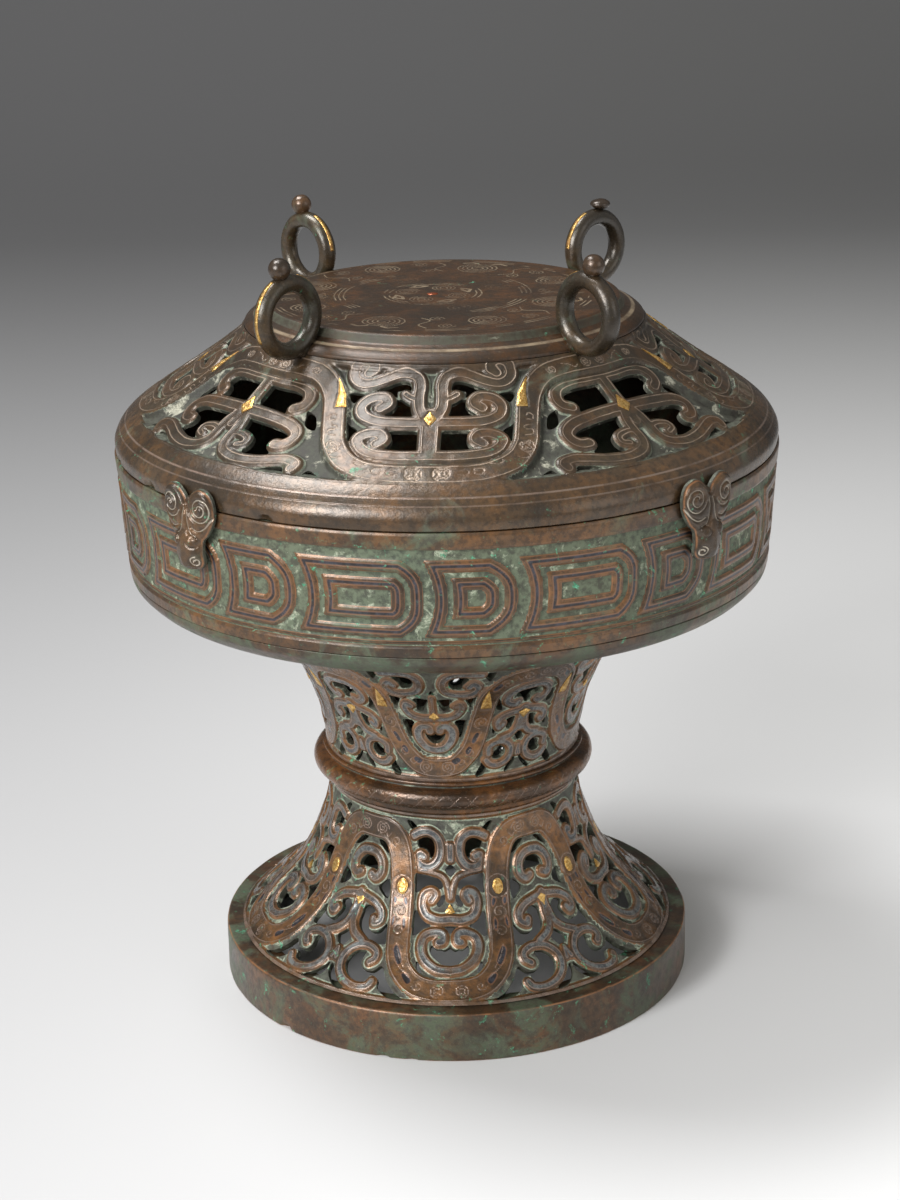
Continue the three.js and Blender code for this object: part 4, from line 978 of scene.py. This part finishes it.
def gold_piece(name, wall, outline, level, body, *nodes):
    """A thin patch of sheet gold with a soft edge and a crumpled face."""
    r = wall.profile.at(outline.mean(0)[1])[0]
    lo, hi = outline.min(0), outline.max(0)
    step, margin = 0.3, 0.4
    n_s = max(6, int((hi[1] - lo[1]) / step)) + 4
    n_t = max(6, int((hi[0] - lo[0]) * r / step)) + 4
    s = np.linspace(lo[1] - margin, hi[1] + margin, n_s)
    t = np.linspace(lo[0] - margin / r, hi[0] + margin / r, n_t)

    # A finer grid over the outline alone
    small = Wall.__new__(Wall)
    small.profile, small.s, small.t = wall.profile, s, t
    small.n_s, small.n_t = n_s - 1, n_t - 1
    small.radius = wall.profile.at(s)[0]
    small.shape = (n_s, n_t)
    inside = np.full(small.shape, -FAR)
    small.draw_patch(inside, outline, reach=3)
    base = small.points(0.0)
    top = level + 0.1 - 0.28 * (1 - smooth_step(inside / 0.7)) + 0.09 * noise(base, 1.3, 31)
    outer = small.points(top)
    inner = small.points(np.full(small.shape, level - 0.7))
    fields = {k: np.full(small.shape, v) for k, v in FIELDS.items()}
    dress(clipped_shell(name, outer, inner, -inside, fields), GOLD, body, "gold", *nodes)


LID_WALL = Wall(Profile([(74.5, 261.9), (77.5, 259.2), (88, 250.8), (98, 243.3), (108, 236.6), (114, 232.6),
                         (116.3, 230.9)]), repeats=4, turn=-3.5, columns=45, rows=52)
NECK_WALL = Wall(Profile([(75.5, 158.6), (72.3, 152), (65.8, 140), (58.7, 128), (53.7, 116), (50.8, 104),
                          (49.6, 94.8)]), repeats=5, turn=-7, columns=36, rows=70)
SKIRT_WALL = Wall(Profile([(48.4, 81.0), (49.3, 76), (50.6, 69), (53, 62), (57.1, 52), (62.9, 42),
                           (72.8, 32), (85.8, 19.8)]), repeats=5, turn=-2.3, columns=36, rows=75)

pierced_wall("lid_scrollwork", LID_WALL, "lid_openwork", "lid", OPENWORK, LID_STRAP, LID_TROUGH_BANDS,
             LID_CREST_BANDS, LID_HOLES, [], LID_LINES, LID_PATCHES, LID_GOLD, strap_width=9.3,
             thickness=3.4, z_low=SLOPE_BASE, z_high=SLOPE_TOP, splits=(1, 1, 1, 1))
pierced_wall("neck_scrollwork", NECK_WALL, "pedestal_neck", "vessel", FOOT_BRONZE, NECK_STRAP,
             NECK_TROUGH_BANDS, NECK_CREST_BANDS, NECK_HOLES, NECK_MIDDLE_HOLES, NECK_LINES, NECK_PATCHES,
             NECK_GOLD, strap_width=9.0, thickness=3.2, z_low=NECK_BASE, z_high=NECK_TOP,
             splits=(2, 2, 1), floor=-0.7, level=-0.25, seam=0.5)
pierced_wall("skirt_scrollwork", SKIRT_WALL, "pedestal_skirt", "vessel", FOOT_BRONZE, SKIRT_STRAP,
             SKIRT_TROUGH_BANDS, SKIRT_CREST_BANDS, SKIRT_HOLES, SKIRT_MIDDLE_HOLES, SKIRT_LINES,
             SKIRT_PATCHES, SKIRT_GOLD, strap_width=10.0, thickness=3.2, z_low=FOOT_TOP,
             z_high=SKIRT_TOP, splits=(2, 2, 1), floor=-0.9, level=-0.25, seam=0.5)
for stem, wall, drawings in (("neck", NECK_WALL, NECK_SMALL_GOLD), ("skirt", SKIRT_WALL, SKIRT_SMALL_GOLD)):
    for i, (middle, points) in enumerate(drawings):
        for j, outline in enumerate(whole_about(wall, points, middle)):
            gold_piece(f"{stem}_small_gold_{i + 1}_{j + 1}", wall, outline, -0.15, "vessel")


# Bowl: a fine ring for the outer wall with its frieze, and a plain body inside and under it

# The units in each tenth: left and right edge in degrees, sag of the left side, bulge of the right and
# the power of that bulge
FRIEZE_UNITS = ((-25.0, -4.2, 1.9, 3.6, 3.2), (-4.1, 10.7, 1.8, 4.2, 2.7))
FRIEZE_TOP = 9.8  # below the rim
FRIEZE_BOTTOM = 37.8


FRIEZE_LOWEST = 160  # height that the frieze's ring never goes below


def frieze():
    profile = Profile([(125, BOWL_RIM), (124.6, 211), (123.9, 201), (123.3, 191), (122.6, 181),
                       (121.8, 171.6)])
    wall = Wall(profile, repeats=10, turn=-25, columns=36, rows=49, cell=0.7)
    middle, half = (FRIEZE_TOP + FRIEZE_BOTTOM) / 2, (FRIEZE_BOTTOM - FRIEZE_TOP) / 2
    d = np.full(wall.shape, -FAR)
    share = np.linspace(-1, 1, 15)
    for k in range(wall.repeats):
        base = k * 360 / wall.repeats
        for left, right, sag, bulge, power in FRIEZE_UNITS:
            outline = [(base + right - bulge * abs(v) ** power, middle + half * v) for v in share]
            outline += [(base + left + sag * (1 - v * v), middle + half * v) for v in share[::-1]]
            outline = np.array(outline)
            outline[:, 0] = np.radians(outline[:, 0])
            wall.draw_patch(d, outline, reach=3)

    # Two ridges follow each unit's edge, between plain bands and a thin border. d is the depth inside the
    # unit's outline, and s is the distance down the wall.
    outer_ridge = smooth_step((d + 0.3) / 0.7) * (d < 4.4) * smooth_step((4.5 - d) / 0.7)
    inner_ridge = smooth_step((d - 6.2) / 0.7) * smooth_step((11.0 - d) / 0.7)
    s = wall.s[:, None] * np.ones(wall.shape)
    plain = np.maximum(smooth_step((6.2 - s) / 0.6), smooth_step((s - 41.2) / 0.5))
    border = smooth_step((s - 39.2) / 0.5) * smooth_step((40.6 - s) / 0.4)
    relief = np.maximum(np.maximum(np.maximum(outer_ridge, inner_ridge), plain), border * 0.85)
    inlaid = np.minimum(abs(d - 2.0), abs(d - 8.6))
    p = wall.points(0.0)
    height = relief - 1.0 - 0.22 * smooth_step((0.8 - inlaid) / 0.4)
    height = height + 0.14 * noise(p, 10, 41) + 0.08 * noise(p, 3.5, 42)
    height = np.where(s < 0.9, height - 0.6 * (1 - smooth_step(s / 0.9)), height)
    outer = wall.points(height)
    inner = wall.points(np.full(wall.shape, -2.6))
    for grid in (outer, inner):
        grid[..., 2] = np.clip(grid[..., 2], FRIEZE_LOWEST, BOWL_RIM)
    depth = np.where(relief > 0.5, 3.0 * (relief - 0.5), (relief - 0.5) * 2.0)
    fields = {
        "depth": depth + 0.3 + (plain > 0.5) * 3.0, "line": np.full(wall.shape, FAR),
        "patch": 0.72 - inlaid, "strap": np.zeros(wall.shape),
    }
    whole = np.full(wall.shape, -1.0)
    n = wall.n_t
    for letter, cut in (("a", slice(0, n // 2 + 1)), ("b", slice(n // 2, n + 1))):
        piece = clipped_shell(f"bowl_frieze_{letter}", outer[:, cut], inner[:, cut], whole[:, cut],
                              {key: v[:, cut] for key, v in fields.items()})
        dress(piece, FRIEZE, "vessel", "green_bronze", "bowl")


FRIEZE = bronze("frieze_bronze", brown="63482e", red="7a5430", green="4f6049", greening=0.45, inlay="dark",
                copper_edges=0.9, pale_recess=0.35, malachite=1.6, ground=("3d4438", "636e59"),
                deposit=("76846e", "b6bda5"))
frieze()


def rounded(points, radii, steps=5):
    """Closed outline with rounded corners, from its corner points."""
    p = np.asarray(points, float)
    out = []
    for i, r in enumerate(radii):
        a, b, c = p[i - 1], p[i], p[(i + 1) % len(p)]
        u, v = a - b, c - b
        lu, lv = np.linalg.norm(u), np.linalg.norm(v)
        r = min(r, 0.45 * lu, 0.45 * lv)
        if r < 0.02:
            out.append(b)
            continue
        s, e = b + u / lu * r, b + v / lv * r
        for k in range(steps + 1):
            t = k / steps
            out.append((1 - t) ** 2 * s + 2 * t * (1 - t) * b + t * t * e)
    return np.array(out)


def densify(points, step=2.0, closed=True):
    """Adds points on long sides."""
    out = []
    n = len(points)
    for i in range(n if closed else n - 1):
        a, b = points[i], points[(i + 1) % n]
        count = max(1, int(np.linalg.norm(b - a) / step))
        out.extend(a + (b - a) * k / count for k in range(count))
    if not closed:
        out.append(points[-1])
    return np.array(out)


bowl_corners = [(0, 163.3), (76, 163.3), (112.6, 168.4), (117.9, 174), (121.4, 216.6), (122.9, 216.7),
                (119.6, 171.0), (121.7, 171.4), (121.3, 168.6), (116.6, 163.6), (77.5, 158.7), (0, 158.7)]
bowl_radii = [0, 4, 4, 4, 0.3, 0.2, 0.1, 0.6, 3.2, 4, 1, 0]
bowl_section = densify(rounded(bowl_corners, bowl_radii), 3.0, closed=False)
bowl_body = solid_of_turn("bowl_body", bowl_section, 220)
dress(bowl_body, GREEN, "vessel", "green_bronze", "bowl")


# Foot ring, collar, lid rim and roundel

def chips(spots):
    """Takes small bites out of edges: (angle, height, size, bite)."""
    def dent(p):
        r = np.hypot(p[..., 0], p[..., 1])
        angle = np.degrees(np.arctan2(p[..., 0], -p[..., 1]))
        for a, z, size, bite in spots:
            across = np.radians((angle - a + 180) % 360 - 180) * r
            d = np.hypot(across, (p[..., 2] - z) * 1.4) / size
            fall = np.clip(1 - d * d, 0, 1) * bite * (1 + 0.4 * noise(p, 1.6, 77))
            p[..., 0] -= fall * p[..., 0] / np.maximum(r, 1)
            p[..., 1] -= fall * p[..., 1] / np.maximum(r, 1)
        return p
    return dent


SEGMENTS = 420
FOOT_CHIPS = [(-46, 0.3, 3.2, 1.6), (-18, 0.2, 2.4, 0.9), (-11, 0.0, 2.0, 0.8), (38, 19.4, 2.2, 0.6)]
foot_corners = [(92.3, 0.0), (92.2, 19.4), (78, 19.4), (78, 15.6), (87.3, 15.6), (87.3, 0.0)]
foot = densify(rounded(foot_corners, [0.8, 1.4, 0.5, 0.5, 1.0, 0.6]), 1.6)
worn_edges = [(91.8, 19.0), (92.0, 0.3), (78.2, 19.3)]
foot_depth = 0.2 + np.min([np.hypot(foot[:, 0] - r, foot[:, 1] - z) for r, z in worn_edges], axis=0)
foot_piece = lathe("foot_ring_body", foot, SEGMENTS, {"depth": foot_depth}, unevenness=0.12,
                   dent=chips(FOOT_CHIPS))
dress(foot_piece, GREEN, "vessel", "green_bronze", "foot_ring")


def collar():
    centre, radius = (50.8, 88.2), 4
    bend = np.radians(np.linspace(-78, 78, 17))
    rope = [(centre[0] + radius * math.cos(a), centre[1] + radius * math.sin(a)) for a in bend]
    corners = [(45, SKIRT_TOP), (49.6, SKIRT_TOP), (49.9, 83.9)] + rope
    corners += [(50.2, 92.4), (49.9, 92.9), (51, 93.4), (51, 94.7), (45, 94.7)]
    section = densify(np.array(corners, float), 0.9)
    segments = 900
    r, z = section[:, 0] - centre[0], section[:, 1] - centre[1]
    around = np.degrees(np.arctan2(z, r))[:, None]
    on_rope = (np.hypot(r, z) < 4.2) & (section[:, 0] > 50)

    # Two fine waves that cross each other along the rope
    swing, waves = 34, 26
    wave = swing * np.sin(circle(segments) * waves)[None, :]
    line = np.minimum(abs(around - wave), abs(around + wave)) * radius * math.pi / 180
    line = np.where(on_rope[:, None], line, FAR)
    groove = (section[:, 1] > 91.6) & (section[:, 1] < 93.2)
    depth = np.where(on_rope, 6.0, np.where(groove, -0.6, 2.6))

    def engrave(p):
        bump = 0.08 * noise(p, 7, 51) - 0.1 * smooth_step((0.5 - line) / 0.4)
        p[..., :2] *= (1 + bump / section[:, 0][:, None])[..., None]
        return p

    piece = lathe("collar_rope", section, segments, {"line": line, "depth": depth}, 0.0, engrave)
    dress(piece, COLLAR_BRONZE, "vessel", "brown_bronze", "pedestal_collar")


collar()


# The lid's plain rim: from the foot of the pierced slope over a round shoulder to the lip

def rim():
    curve = smooth_line([(116.3, 231.0), (118.4, 229.5), (120.6, 227.6), (122.4, 225.6), (123.8, 223.4),
                         (124.5, 221.4), (124.55, 219.6), (124.3, 217.4)], 6)
    inside = [(115.9, 231.2), (110.4, 231.0), (113.0, 224), (115.6, 217.1), (123.9, 217.1)]
    section = densify(np.concatenate([curve[::-1], inside]), 1.0)
    start = 51.2  # slant distance from the roundel, where the rim begins
    wide_line, thin_line = 56.4, 59.6  # slant distances of the two lines
    curve_s = start + np.concatenate([[0], np.cumsum(np.hypot(*np.diff(curve, axis=0).T))])
    s_of = []
    for r, z in section:
        d = np.hypot(curve[:, 0] - r, curve[:, 1] - z)
        s_of.append(curve_s[d.argmin()] if d.min() < 0.6 else -1)
    s_of = np.array(s_of)
    line = np.where(s_of > 0, np.minimum(abs(s_of - wide_line) * 0.7, abs(s_of - thin_line)), FAR)
    piece = lathe("lid_rim_body", section, 560,
                  {"line": line, "depth": np.where(s_of > 0, 6.0, -1.0)}, dent=chips(RIM_CHIPS))
    dress(piece, RIM, "lid", "brown_bronze", "lid_rim")


RIM_CHIPS = [(-30, 217.6, 3.0, 1.2), (-58, 217.6, 4.0, 1.0), (-75, 218.0, 3.0, 0.8), (-90, 218, 3.5, 0.9)]
RIM = bronze("rim_bronze", brown="54422f", red="684b2e", greening=0.2, roughness=0.27)
rim()


# Roundel: its engraving is a distance field, and its section runs from the middle to the underside

def roundel():
    segments = 620
    flat = ROUNDEL_EDGE - BEVEL_RUN - 0.9
    top = [(r, ROUNDEL_TOP - 0.1) for r in np.linspace(0, flat - 1.0, 108)]

    # The step round the flat top and the band below it, as (outward, down) from their corners
    step = [(-0.2, 0.12), (0.9, 0.7), (1.7, 2.0), (2.5, 3.1)]
    step = smooth_line([(flat + run, ROUNDEL_TOP - drop) for run, drop in step], 4)
    band = [(6.8, 3.5), (4.6, 4.4), (2.4, 5.4), (1.2, 6.3)]
    band = [(ROUNDEL_EDGE - back, ROUNDEL_TOP - drop) for back, drop in band]
    band += [(ROUNDEL_EDGE - 0.3, ROUNDEL_BASE + 1.1), (ROUNDEL_EDGE - 0.1, ROUNDEL_BASE + 0.1)]
    under = [(71.3, ROUNDEL_BASE + 0.15), (71.3, 264.4), (65.5, 267.2), (40, 267.2), (0, 267.2)]
    under = densify(np.array(under, float), 6.0, closed=False)
    section = np.concatenate([top, step, smooth_line(band, 5), under])
    body = section[1:-1]
    t = circle(segments)
    x = body[:, :1] * np.sin(t) - DRAWING_CENTRE[0]
    y = -body[:, :1] * np.cos(t) - DRAWING_CENTRE[1]
    on_top = ((body[:, 1] > ROUNDEL_TOP - 0.5) & (body[:, 0] < flat + 0.5))[:, None]

    # Rings of the engraving, worn in places
    line = np.full(x.shape, FAR)
    r = np.hypot(x, y)
    turn = np.arctan2(x, -y)
    broken = 0.35 * smooth_step(noise(np.stack([x, y, 0 * x], -1), 5, 81) * 2)
    for radius in (16.4, 18.3):
        line = np.minimum(line, abs(r - radius) + broken)
    for radius in (33.2, 34.9, 36.6):
        faded = 3 * smooth_step(np.cos(2 * turn + 0.5) * 3 - 0.6)
        line = np.minimum(line, abs(r - radius) + faded + broken)
    for radius in (58.6, 60.4):
        line = np.minimum(line, abs(r - radius) + 2 * broken)

    def draw(points, thin):
        pts = np.asarray(points)
        low, high = pts.min(0) - 1.5, pts.max(0) + 1.5
        near = (x > low[0]) & (x < high[0]) & (y > low[1]) & (y < high[1])
        px, py = x[near], y[near]
        best = line[near]
        for a, b in zip(pts[:-1], pts[1:]):
            best = np.minimum(best, segment_distance(px, py, a, b) + thin)
        line[near] = best

    def polar(radius, angle):
        return np.array([radius * math.sin(angle), -radius * math.cos(angle)])

    # Spirals and small figures, in four like quarters
    for k in range(4):
        a = 0.4 + math.pi / 4 + k * math.pi / 2
        b = 0.4 + k * math.pi / 2
        draw(spiral(polar(10.2, a), 5.0, 3, 90 * k + 200, 1), 0.1)
        draw([polar(13.6, b - 0.26), polar(15.4, b), polar(13.6, b + 0.26), polar(12.2, b),
              polar(13.6, b - 0.26)], -0.3)
        draw(spiral(polar(26.0, b), 5.6, 2.6, 90 * k, -1), 0.22)
        draw(spiral(polar(47.6, a), 8.6, 4.2, 90 * k, 1), 0.02)
        draw(spiral(polar(49.0, b), 7.4, 3.8, 90 * k + 40, -1), 0.02)
        for sign in (-1, 1):
            c = b + sign * 0.31
            draw(spiral(polar(53.2, c), 3.4, 2, 90 * k, sign), 0.08)
            draw(spiral(polar(42.0, c + sign * 0.06), 3.0, 1.6, 90 * k, -sign), 0.08)
            draw(smooth_line([polar(40.4, b + sign * 0.5), polar(45, b + sign * 0.42),
                              polar(51, b + sign * 0.5), polar(56.4, b + sign * 0.44)], 4), 0.02)
            draw([polar(55.6, a + sign * 0.16), polar(57.0, a + sign * 0.10), polar(55.2, a + sign * 0.05)],
                 -0.25)
    line = np.where(on_top, line, FAR)

    # One line along the sloping band, and deposits in the step above it
    off_band = np.where(body[:, 0] > flat + 2, abs(body[:, 1] - ROUNDEL_TOP + 4.5), FAR)[:, None]
    line = np.minimum(line, np.where(on_top, FAR, off_band))
    in_step = (body[:, 0] > flat + 0.6) & (body[:, 0] < flat + 2.9) & (body[:, 1] > ROUNDEL_TOP - 3.6)
    depth = np.where(in_step[:, None], -0.22, FAR) * np.ones(x.shape)
    piece = solid_of_turn("roundel_body", section, segments, {"line": line, "depth": depth}, 0.08)
    dress(piece, TOP, "lid", "dark_bronze", "lid_roundel")
    bead = make_mesh("roundel_bead", *ball((*DRAWING_CENTRE, ROUNDEL_TOP - 0.35), (2.3, 2.1, 0.75), 12, 32))
    dress(bead, COPPER, "lid", "dark_bronze", "lid_roundel")


# Ring handles

def torus(centre, ring, rod, steps, sides, squash):
    """Grid of a ring in the local XZ plane."""
    a = circle(steps)[:, None]
    b = circle(sides)[None, :]
    out = ring + rod * np.cos(b)
    across = squash * rod * np.sin(b) * np.ones_like(a)
    return np.stack([centre[0] + out * np.sin(a), across, centre[1] + out * np.cos(a)], -1)


def ball(centre, radii, steps=20, sides=32):
    """Vertices and faces of a closed lump: rings of points between two poles."""
    u = np.linspace(0, math.pi, steps + 2)[1:-1][:, None]
    v = circle(sides)[None, :]
    p = [radii[0] * np.sin(u) * np.cos(v), radii[1] * np.sin(u) * np.sin(v),
         radii[2] * np.cos(u) * np.ones_like(v)]
    poles = np.array([[0, 0, radii[2]], [0, 0, -radii[2]]])
    vertices = np.concatenate([np.stack(p, -1).reshape(-1, 3), poles]) + np.array(centre)
    return vertices, capped_triangles(steps, sides)


def turned(points, degrees):
    """Points turned about the vessel's axis."""
    a = math.radians(degrees)
    x, y = points[..., 0], points[..., 1]
    c, s = math.cos(a), math.sin(a)
    return np.stack([x * c - y * s, x * s + y * c, points[..., 2]], -1)


TOP = bronze("roundel_bronze", brown="46311d", red="5a3a1e", dark="2b2015", greening=0.0, roughness=0.4,
             lining=("9f8d74", "85745f"), line_share=0.95, malachite=0.3, line_width=0.44, line_kept=0.4,
             waxed=0.15, pale_recess=0.0, ground=("2c2e24", "434838"))
COPPER = bronze("copper_bead", brown="a2502a", red="b5602f", dark="7a3a1e", greening=0.0, malachite=0.0,
                roughness=0.3, metallic=0.7)
roundel()


GOLD_STRIPS = {"a": (26, 118), "b": (-84, -20)}  # their ends in degrees round the ring


RING_RADIUS = 12.0
ROD_RADIUS = 3.2


def ring_handles():
    ring, rod = RING_RADIUS, ROD_RADIUS
    stand, z = RING_STAND, RING_HEIGHT
    lean = math.radians(10)  # of the knob's place on the ring, outward
    for k, angle in enumerate(RING_ANGLES):
        name = f"ring_handle_{k + 1}"

        def add(part, vertices, faces, material, slot, *nodes):
            piece = make_mesh(f"{name}_{part}", turned(vertices, angle - 90), faces)
            dress(piece, material, "lid", slot, *nodes)

        p = torus((stand, z), ring, rod, 96, 24, 1.06)
        p += 0.12 * noise(p + 40 * k, 4, 61)[..., None]
        add("hoop", p.reshape(-1, 3), ring_quads(96, 24)[:, [0, 3, 2, 1]], DARK, "dark_bronze", name)

        reach = ring + rod + 3.0
        out, drop, thick = (0.9, 1.2, 0.5) if k == WORN_KNOB else (1.0, 0.4, 1.0)
        centre = (stand + reach * math.sin(lean) * out, 0, z + reach * math.cos(lean) - drop)
        v, f = ball(centre, (4.0, 3.9, 4.0 * thick))
        v += 0.1 * noise(v, 3, 62)[..., None]
        v[:, 2] = np.minimum(v[:, 2], KNOB_TOP)
        add("knob", v, f, KNOB, "dark_bronze", name)

        v, f = ball((stand - 5.8, 0, z - ring - 0.2), (4.4, 3.5, 3.4))
        v += 0.2 * noise(v, 3, 63)[..., None]
        add("foot", v, f, DARK, "dark_bronze", name)

        # Strips of gold let into the outer edge beside the knob
        half_width, lift, root = 0.75, 0.10, -0.5
        for letter in ("ab" if k == TWO_STRIPS else "b"):
            a = np.radians(np.linspace(*GOLD_STRIPS[letter], 40))
            g = []
            for y, up in ((-half_width, lift), (half_width, lift), (half_width, root), (-half_width, root)):
                out = ring + rod + up - 0.02
                g.append(np.stack([stand + out * np.sin(a), np.full(len(a), y), z + out * np.cos(a)], -1))
            last = (len(a) - 1) * 4
            ends = np.array([[0, 1, 2, 3], [last + 3, last + 2, last + 1, last]])
            faces = np.concatenate([strip_quads(len(a), 4), ends])
            add(f"gold_{letter}", np.stack(g, 1).reshape(-1, 3), faces, GOLD, "gold")


ring_handles()


# Mask clasps

CLASP_SIDE = [(0, 24), (2, 27), (6, 29.5), (10.5, 28.5), (12.8, 24.5), (12.5, 19), (9.6, 13.5), (7.2, 11),
              (6.6, 7), (7.0, 3), (5, 0.4), (0, -0.4)]


LUG_CENTRE = (0, -125.4, 219.3)
LUG_RADII = (4.5, 2.0, 1.5)


def mask_clasps():
    step = 0.3
    x, z = np.meshgrid(np.arange(-13.2, 13.2 + step, step), np.arange(30.2, -0.8 - step, -step))
    side = smooth_line(CLASP_SIDE, 5)
    outline = np.concatenate([side, (side * [-1, 1])[::-1][1:-1]])

    def distance(points):
        return np.min([segment_distance(x, z, a, b) for a, b in zip(points[:-1], points[1:])], axis=0)

    inside = np.zeros(x.shape, bool)
    for a, b in zip(outline, np.roll(outline, -1, axis=0)):
        inside ^= crosses(x, z, a, b)
    d = distance(np.concatenate([outline, outline[:1]]))
    d = np.where(inside, d, -d)
    grooves = np.full(x.shape, FAR)
    for sign in (-1, 1):
        for line in (
            spiral((sign * 7.4, 22.6), 5.0, 1.9, 200 if sign > 0 else -20, sign, 1.0, 0.2),
            [(sign * 0.9, 22), (sign * 1.4, 17), (sign * 2.6, 13.6), (sign * 4.6, 12.4)],
            [(sign * 12.2, 20), (sign * 9.4, 16.4), (sign * 6.4, 14.8), (sign * 3.4, 15.6)],
            spiral((sign * 4.4, 3.4), 1.9, 1.2, 90, sign, 1.0, 0.3),
        ):
            grooves = np.minimum(grooves, distance(smooth_line(line, 4)))

    # Relief: a cushion with a snout, round eyes in sockets and a ridge for the nose
    eyes = np.minimum(np.hypot(x - 3.9, z - 10.6), np.hypot(x + 3.9, z - 10.6))
    snout = np.clip(1 - (x / 5.2) ** 2 - ((z - 6.5) / 7.8) ** 2, 0, None)
    height = 1.2 + 1.9 * smooth_step(d / 1.6) + 0.9 * smooth_step((d - 1) / 4)
    height = height + 1.5 * np.sqrt(snout)
    height = height - 0.9 * np.exp(-((grooves / 0.55) ** 2))
    height = height + 0.9 * np.sqrt(np.clip(1 - (eyes / 1.9) ** 2, 0, None))
    height = height - 0.5 * np.exp(-(((eyes - 2.1) / 0.4) ** 2))
    height = height + 0.5 * np.exp(-((x / 1.1) ** 2) - (((z - 4) / 5.5) ** 2))

    def at(r):
        angle = x / CLASP_BACK
        return np.stack([r * np.sin(angle), -r * np.cos(angle), z + CLASP_BASE], -1)

    low = at(np.full(x.shape, CLASP_BACK))
    fields = {
        "depth": np.minimum(d, 4.0) - 0.2, "line": grooves, "patch": np.full(x.shape, -FAR),
        "strap": np.zeros(x.shape),
    }
    for k in range(4):
        turn = 45 + 90 * k  # from the front
        high = at(CLASP_BACK + (height + 0.12 * noise(low + 50 * k, 3, 71)) * 0.9)
        face = clipped_shell(f"mask_clasp_{k + 1}_face", turned(high, turn), turned(low, turn), -d, fields)
        lug_points, lug_faces = ball(LUG_CENTRE, LUG_RADII, 10, 16)
        lug = make_mesh(f"mask_clasp_{k + 1}_lug", turned(lug_points, turn), lug_faces)
        for piece in (face, lug):
            dress(piece, CLASP, "lid", "brown_bronze", f"mask_clasp_{k + 1}")


# Partly painted highlight: the clasps' pale lines and strong copper edges stand partly for their silvery
# and coppery highlights, and partly for filled grooves and rubbed metal.
CLASP = bronze("clasp_bronze", brown="58442f", red="70502f", greening=0.3, copper_edges=0.8, roughness=0.3,
               malachite=1.2, lining=("c4baa9", "9d9182"), line_share=0.9, line_kept=0.5)
mask_clasps()


# Floor and backdrop in one sweep, in metres

def sweep_material():
    n = Nodes("sweep_paper_painted_light")
    parts = n.add("ShaderNodeSeparateXYZ", {"Vector": n.coords})
    # Painted light: the paper's colour runs from pale near the camera to dark grey further back and up the
    # backdrop, standing in for the lamps' fall-off. Near the camera it is paler on the right, where it
    # lifts the object's shadow.
    along = n.math("MULTIPLY_ADD", parts.outputs["Z"], 1.3, parts.outputs["Y"])
    shade = n.span(along, -0.5, 1.8)
    across = n.span(parts.outputs["X"], -0.35, 0.35)
    near = n.mix(across, "b9b9ba", "f4f4f4")
    far = n.mix(across, "606061", "5f5f5f")
    # Painted shade: the floor more than 0.4 m in front of the vessel turns a darker grey, standing in for
    # less light there, so that it does not burn out under the lamps.
    painted_front_shade = n.span(parts.outputs["Y"], -0.4, -0.75)
    return n.shade(Base_Color=n.mix(painted_front_shade, n.mix(shade, near, far), "8c8c8c"), Roughness=0.85)


def sweep():
    half_width, front, back, bend, tall = 3.0, -1.6, 1.5, 0.8, 2.6
    line = [(front, 0.0)]
    line += [(y, 0.0) for y in np.linspace(front + 0.2, back, 10)]
    line += [(back + bend * math.sin(a), bend * (1 - math.cos(a)))
             for a in np.radians(np.linspace(6, 90, 15))]
    line += [(back + bend, z) for z in np.linspace(bend + 0.2, tall, 6)]
    xs = np.linspace(-half_width, half_width, 13)
    vertices = [(x / MM, y / MM, z / MM) for y, z in line for x in xs]
    m = len(xs)
    starts = [i * m + j for i in range(len(line) - 1) for j in range(m - 1)]
    faces = [(a, a + 1, a + m + 1, a + m) for a in starts]
    piece = make_mesh("studio_sweep", vertices, faces)
    piece.data.materials.append(sweep_material())


sweep()


# Light

def area_light(name, place, target, size, power):
    data = bpy.data.lights.new(name, "AREA")
    data.shape = "SQUARE"
    data.size = size
    data.energy = power
    lamp = bpy.data.objects.new(name, data)
    lamp.location = place
    lamp.rotation_euler = (Vector(target) - Vector(place)).to_track_quat("-Z", "Y").to_euler()
    bpy.context.scene.collection.objects.link(lamp)


# Place, height that it points at, size and power: metres and watts
LAMPS = {
    "front_left": ((-1.9, -2.5, 1.9), 0.13, 2.2, 73),
    "sheen_left": ((-0.96, -1.05, 0.9), 0.1, 0.4, 13),
    "over_left": ((-0.62, 0.25, 1.75), 0.2, 0.7, 25),
    "fill_right": ((2.2, -1.6, 1.1), 0.15, 1.6, 9),
}
for name, (place, height, size, power) in LAMPS.items():
    area_light(name, place, (0, 0, height), size, power)

world = bpy.data.worlds.new("studio_world")
world.use_nodes = True
background = world.node_tree.nodes["Background"]
SKY_COLOUR = (0.96, 0.95, 0.92, 1)
SKY_STRENGTH = 0.4
background.inputs["Color"].default_value = SKY_COLOUR
background.inputs["Strength"].default_value = SKY_STRENGTH
bpy.context.scene.world = world

# Camera: placed by fitting the rims' ellipses
PICTURE_HEIGHT = 1200  # pixels
FOCAL_LENGTH = 2524.66  # pixels
SENSOR = 36.0
CAMERA_AWAY = 0.92324
CAMERA_HEIGHT = 0.47251
LOOKING_DOWN = math.radians(19.26)
TILT = math.radians(-1.155)
camera_data = bpy.data.cameras.new("camera")
camera_data.sensor_fit = "VERTICAL"
camera_data.sensor_height = SENSOR
camera_data.sensor_width = SENSOR
camera_data.lens = FOCAL_LENGTH / PICTURE_HEIGHT * SENSOR
camera = bpy.data.objects.new("camera", camera_data)
camera.location = (0, -CAMERA_AWAY, CAMERA_HEIGHT)
pitch = Euler((math.pi / 2 - LOOKING_DOWN, 0, 0)).to_matrix()
camera.rotation_euler = (pitch @ Euler((0, 0, TILT)).to_matrix()).to_euler()
bpy.context.scene.collection.objects.link(camera)
bpy.context.scene.camera = camera
bpy.context.scene.view_settings.view_transform = "Standard"
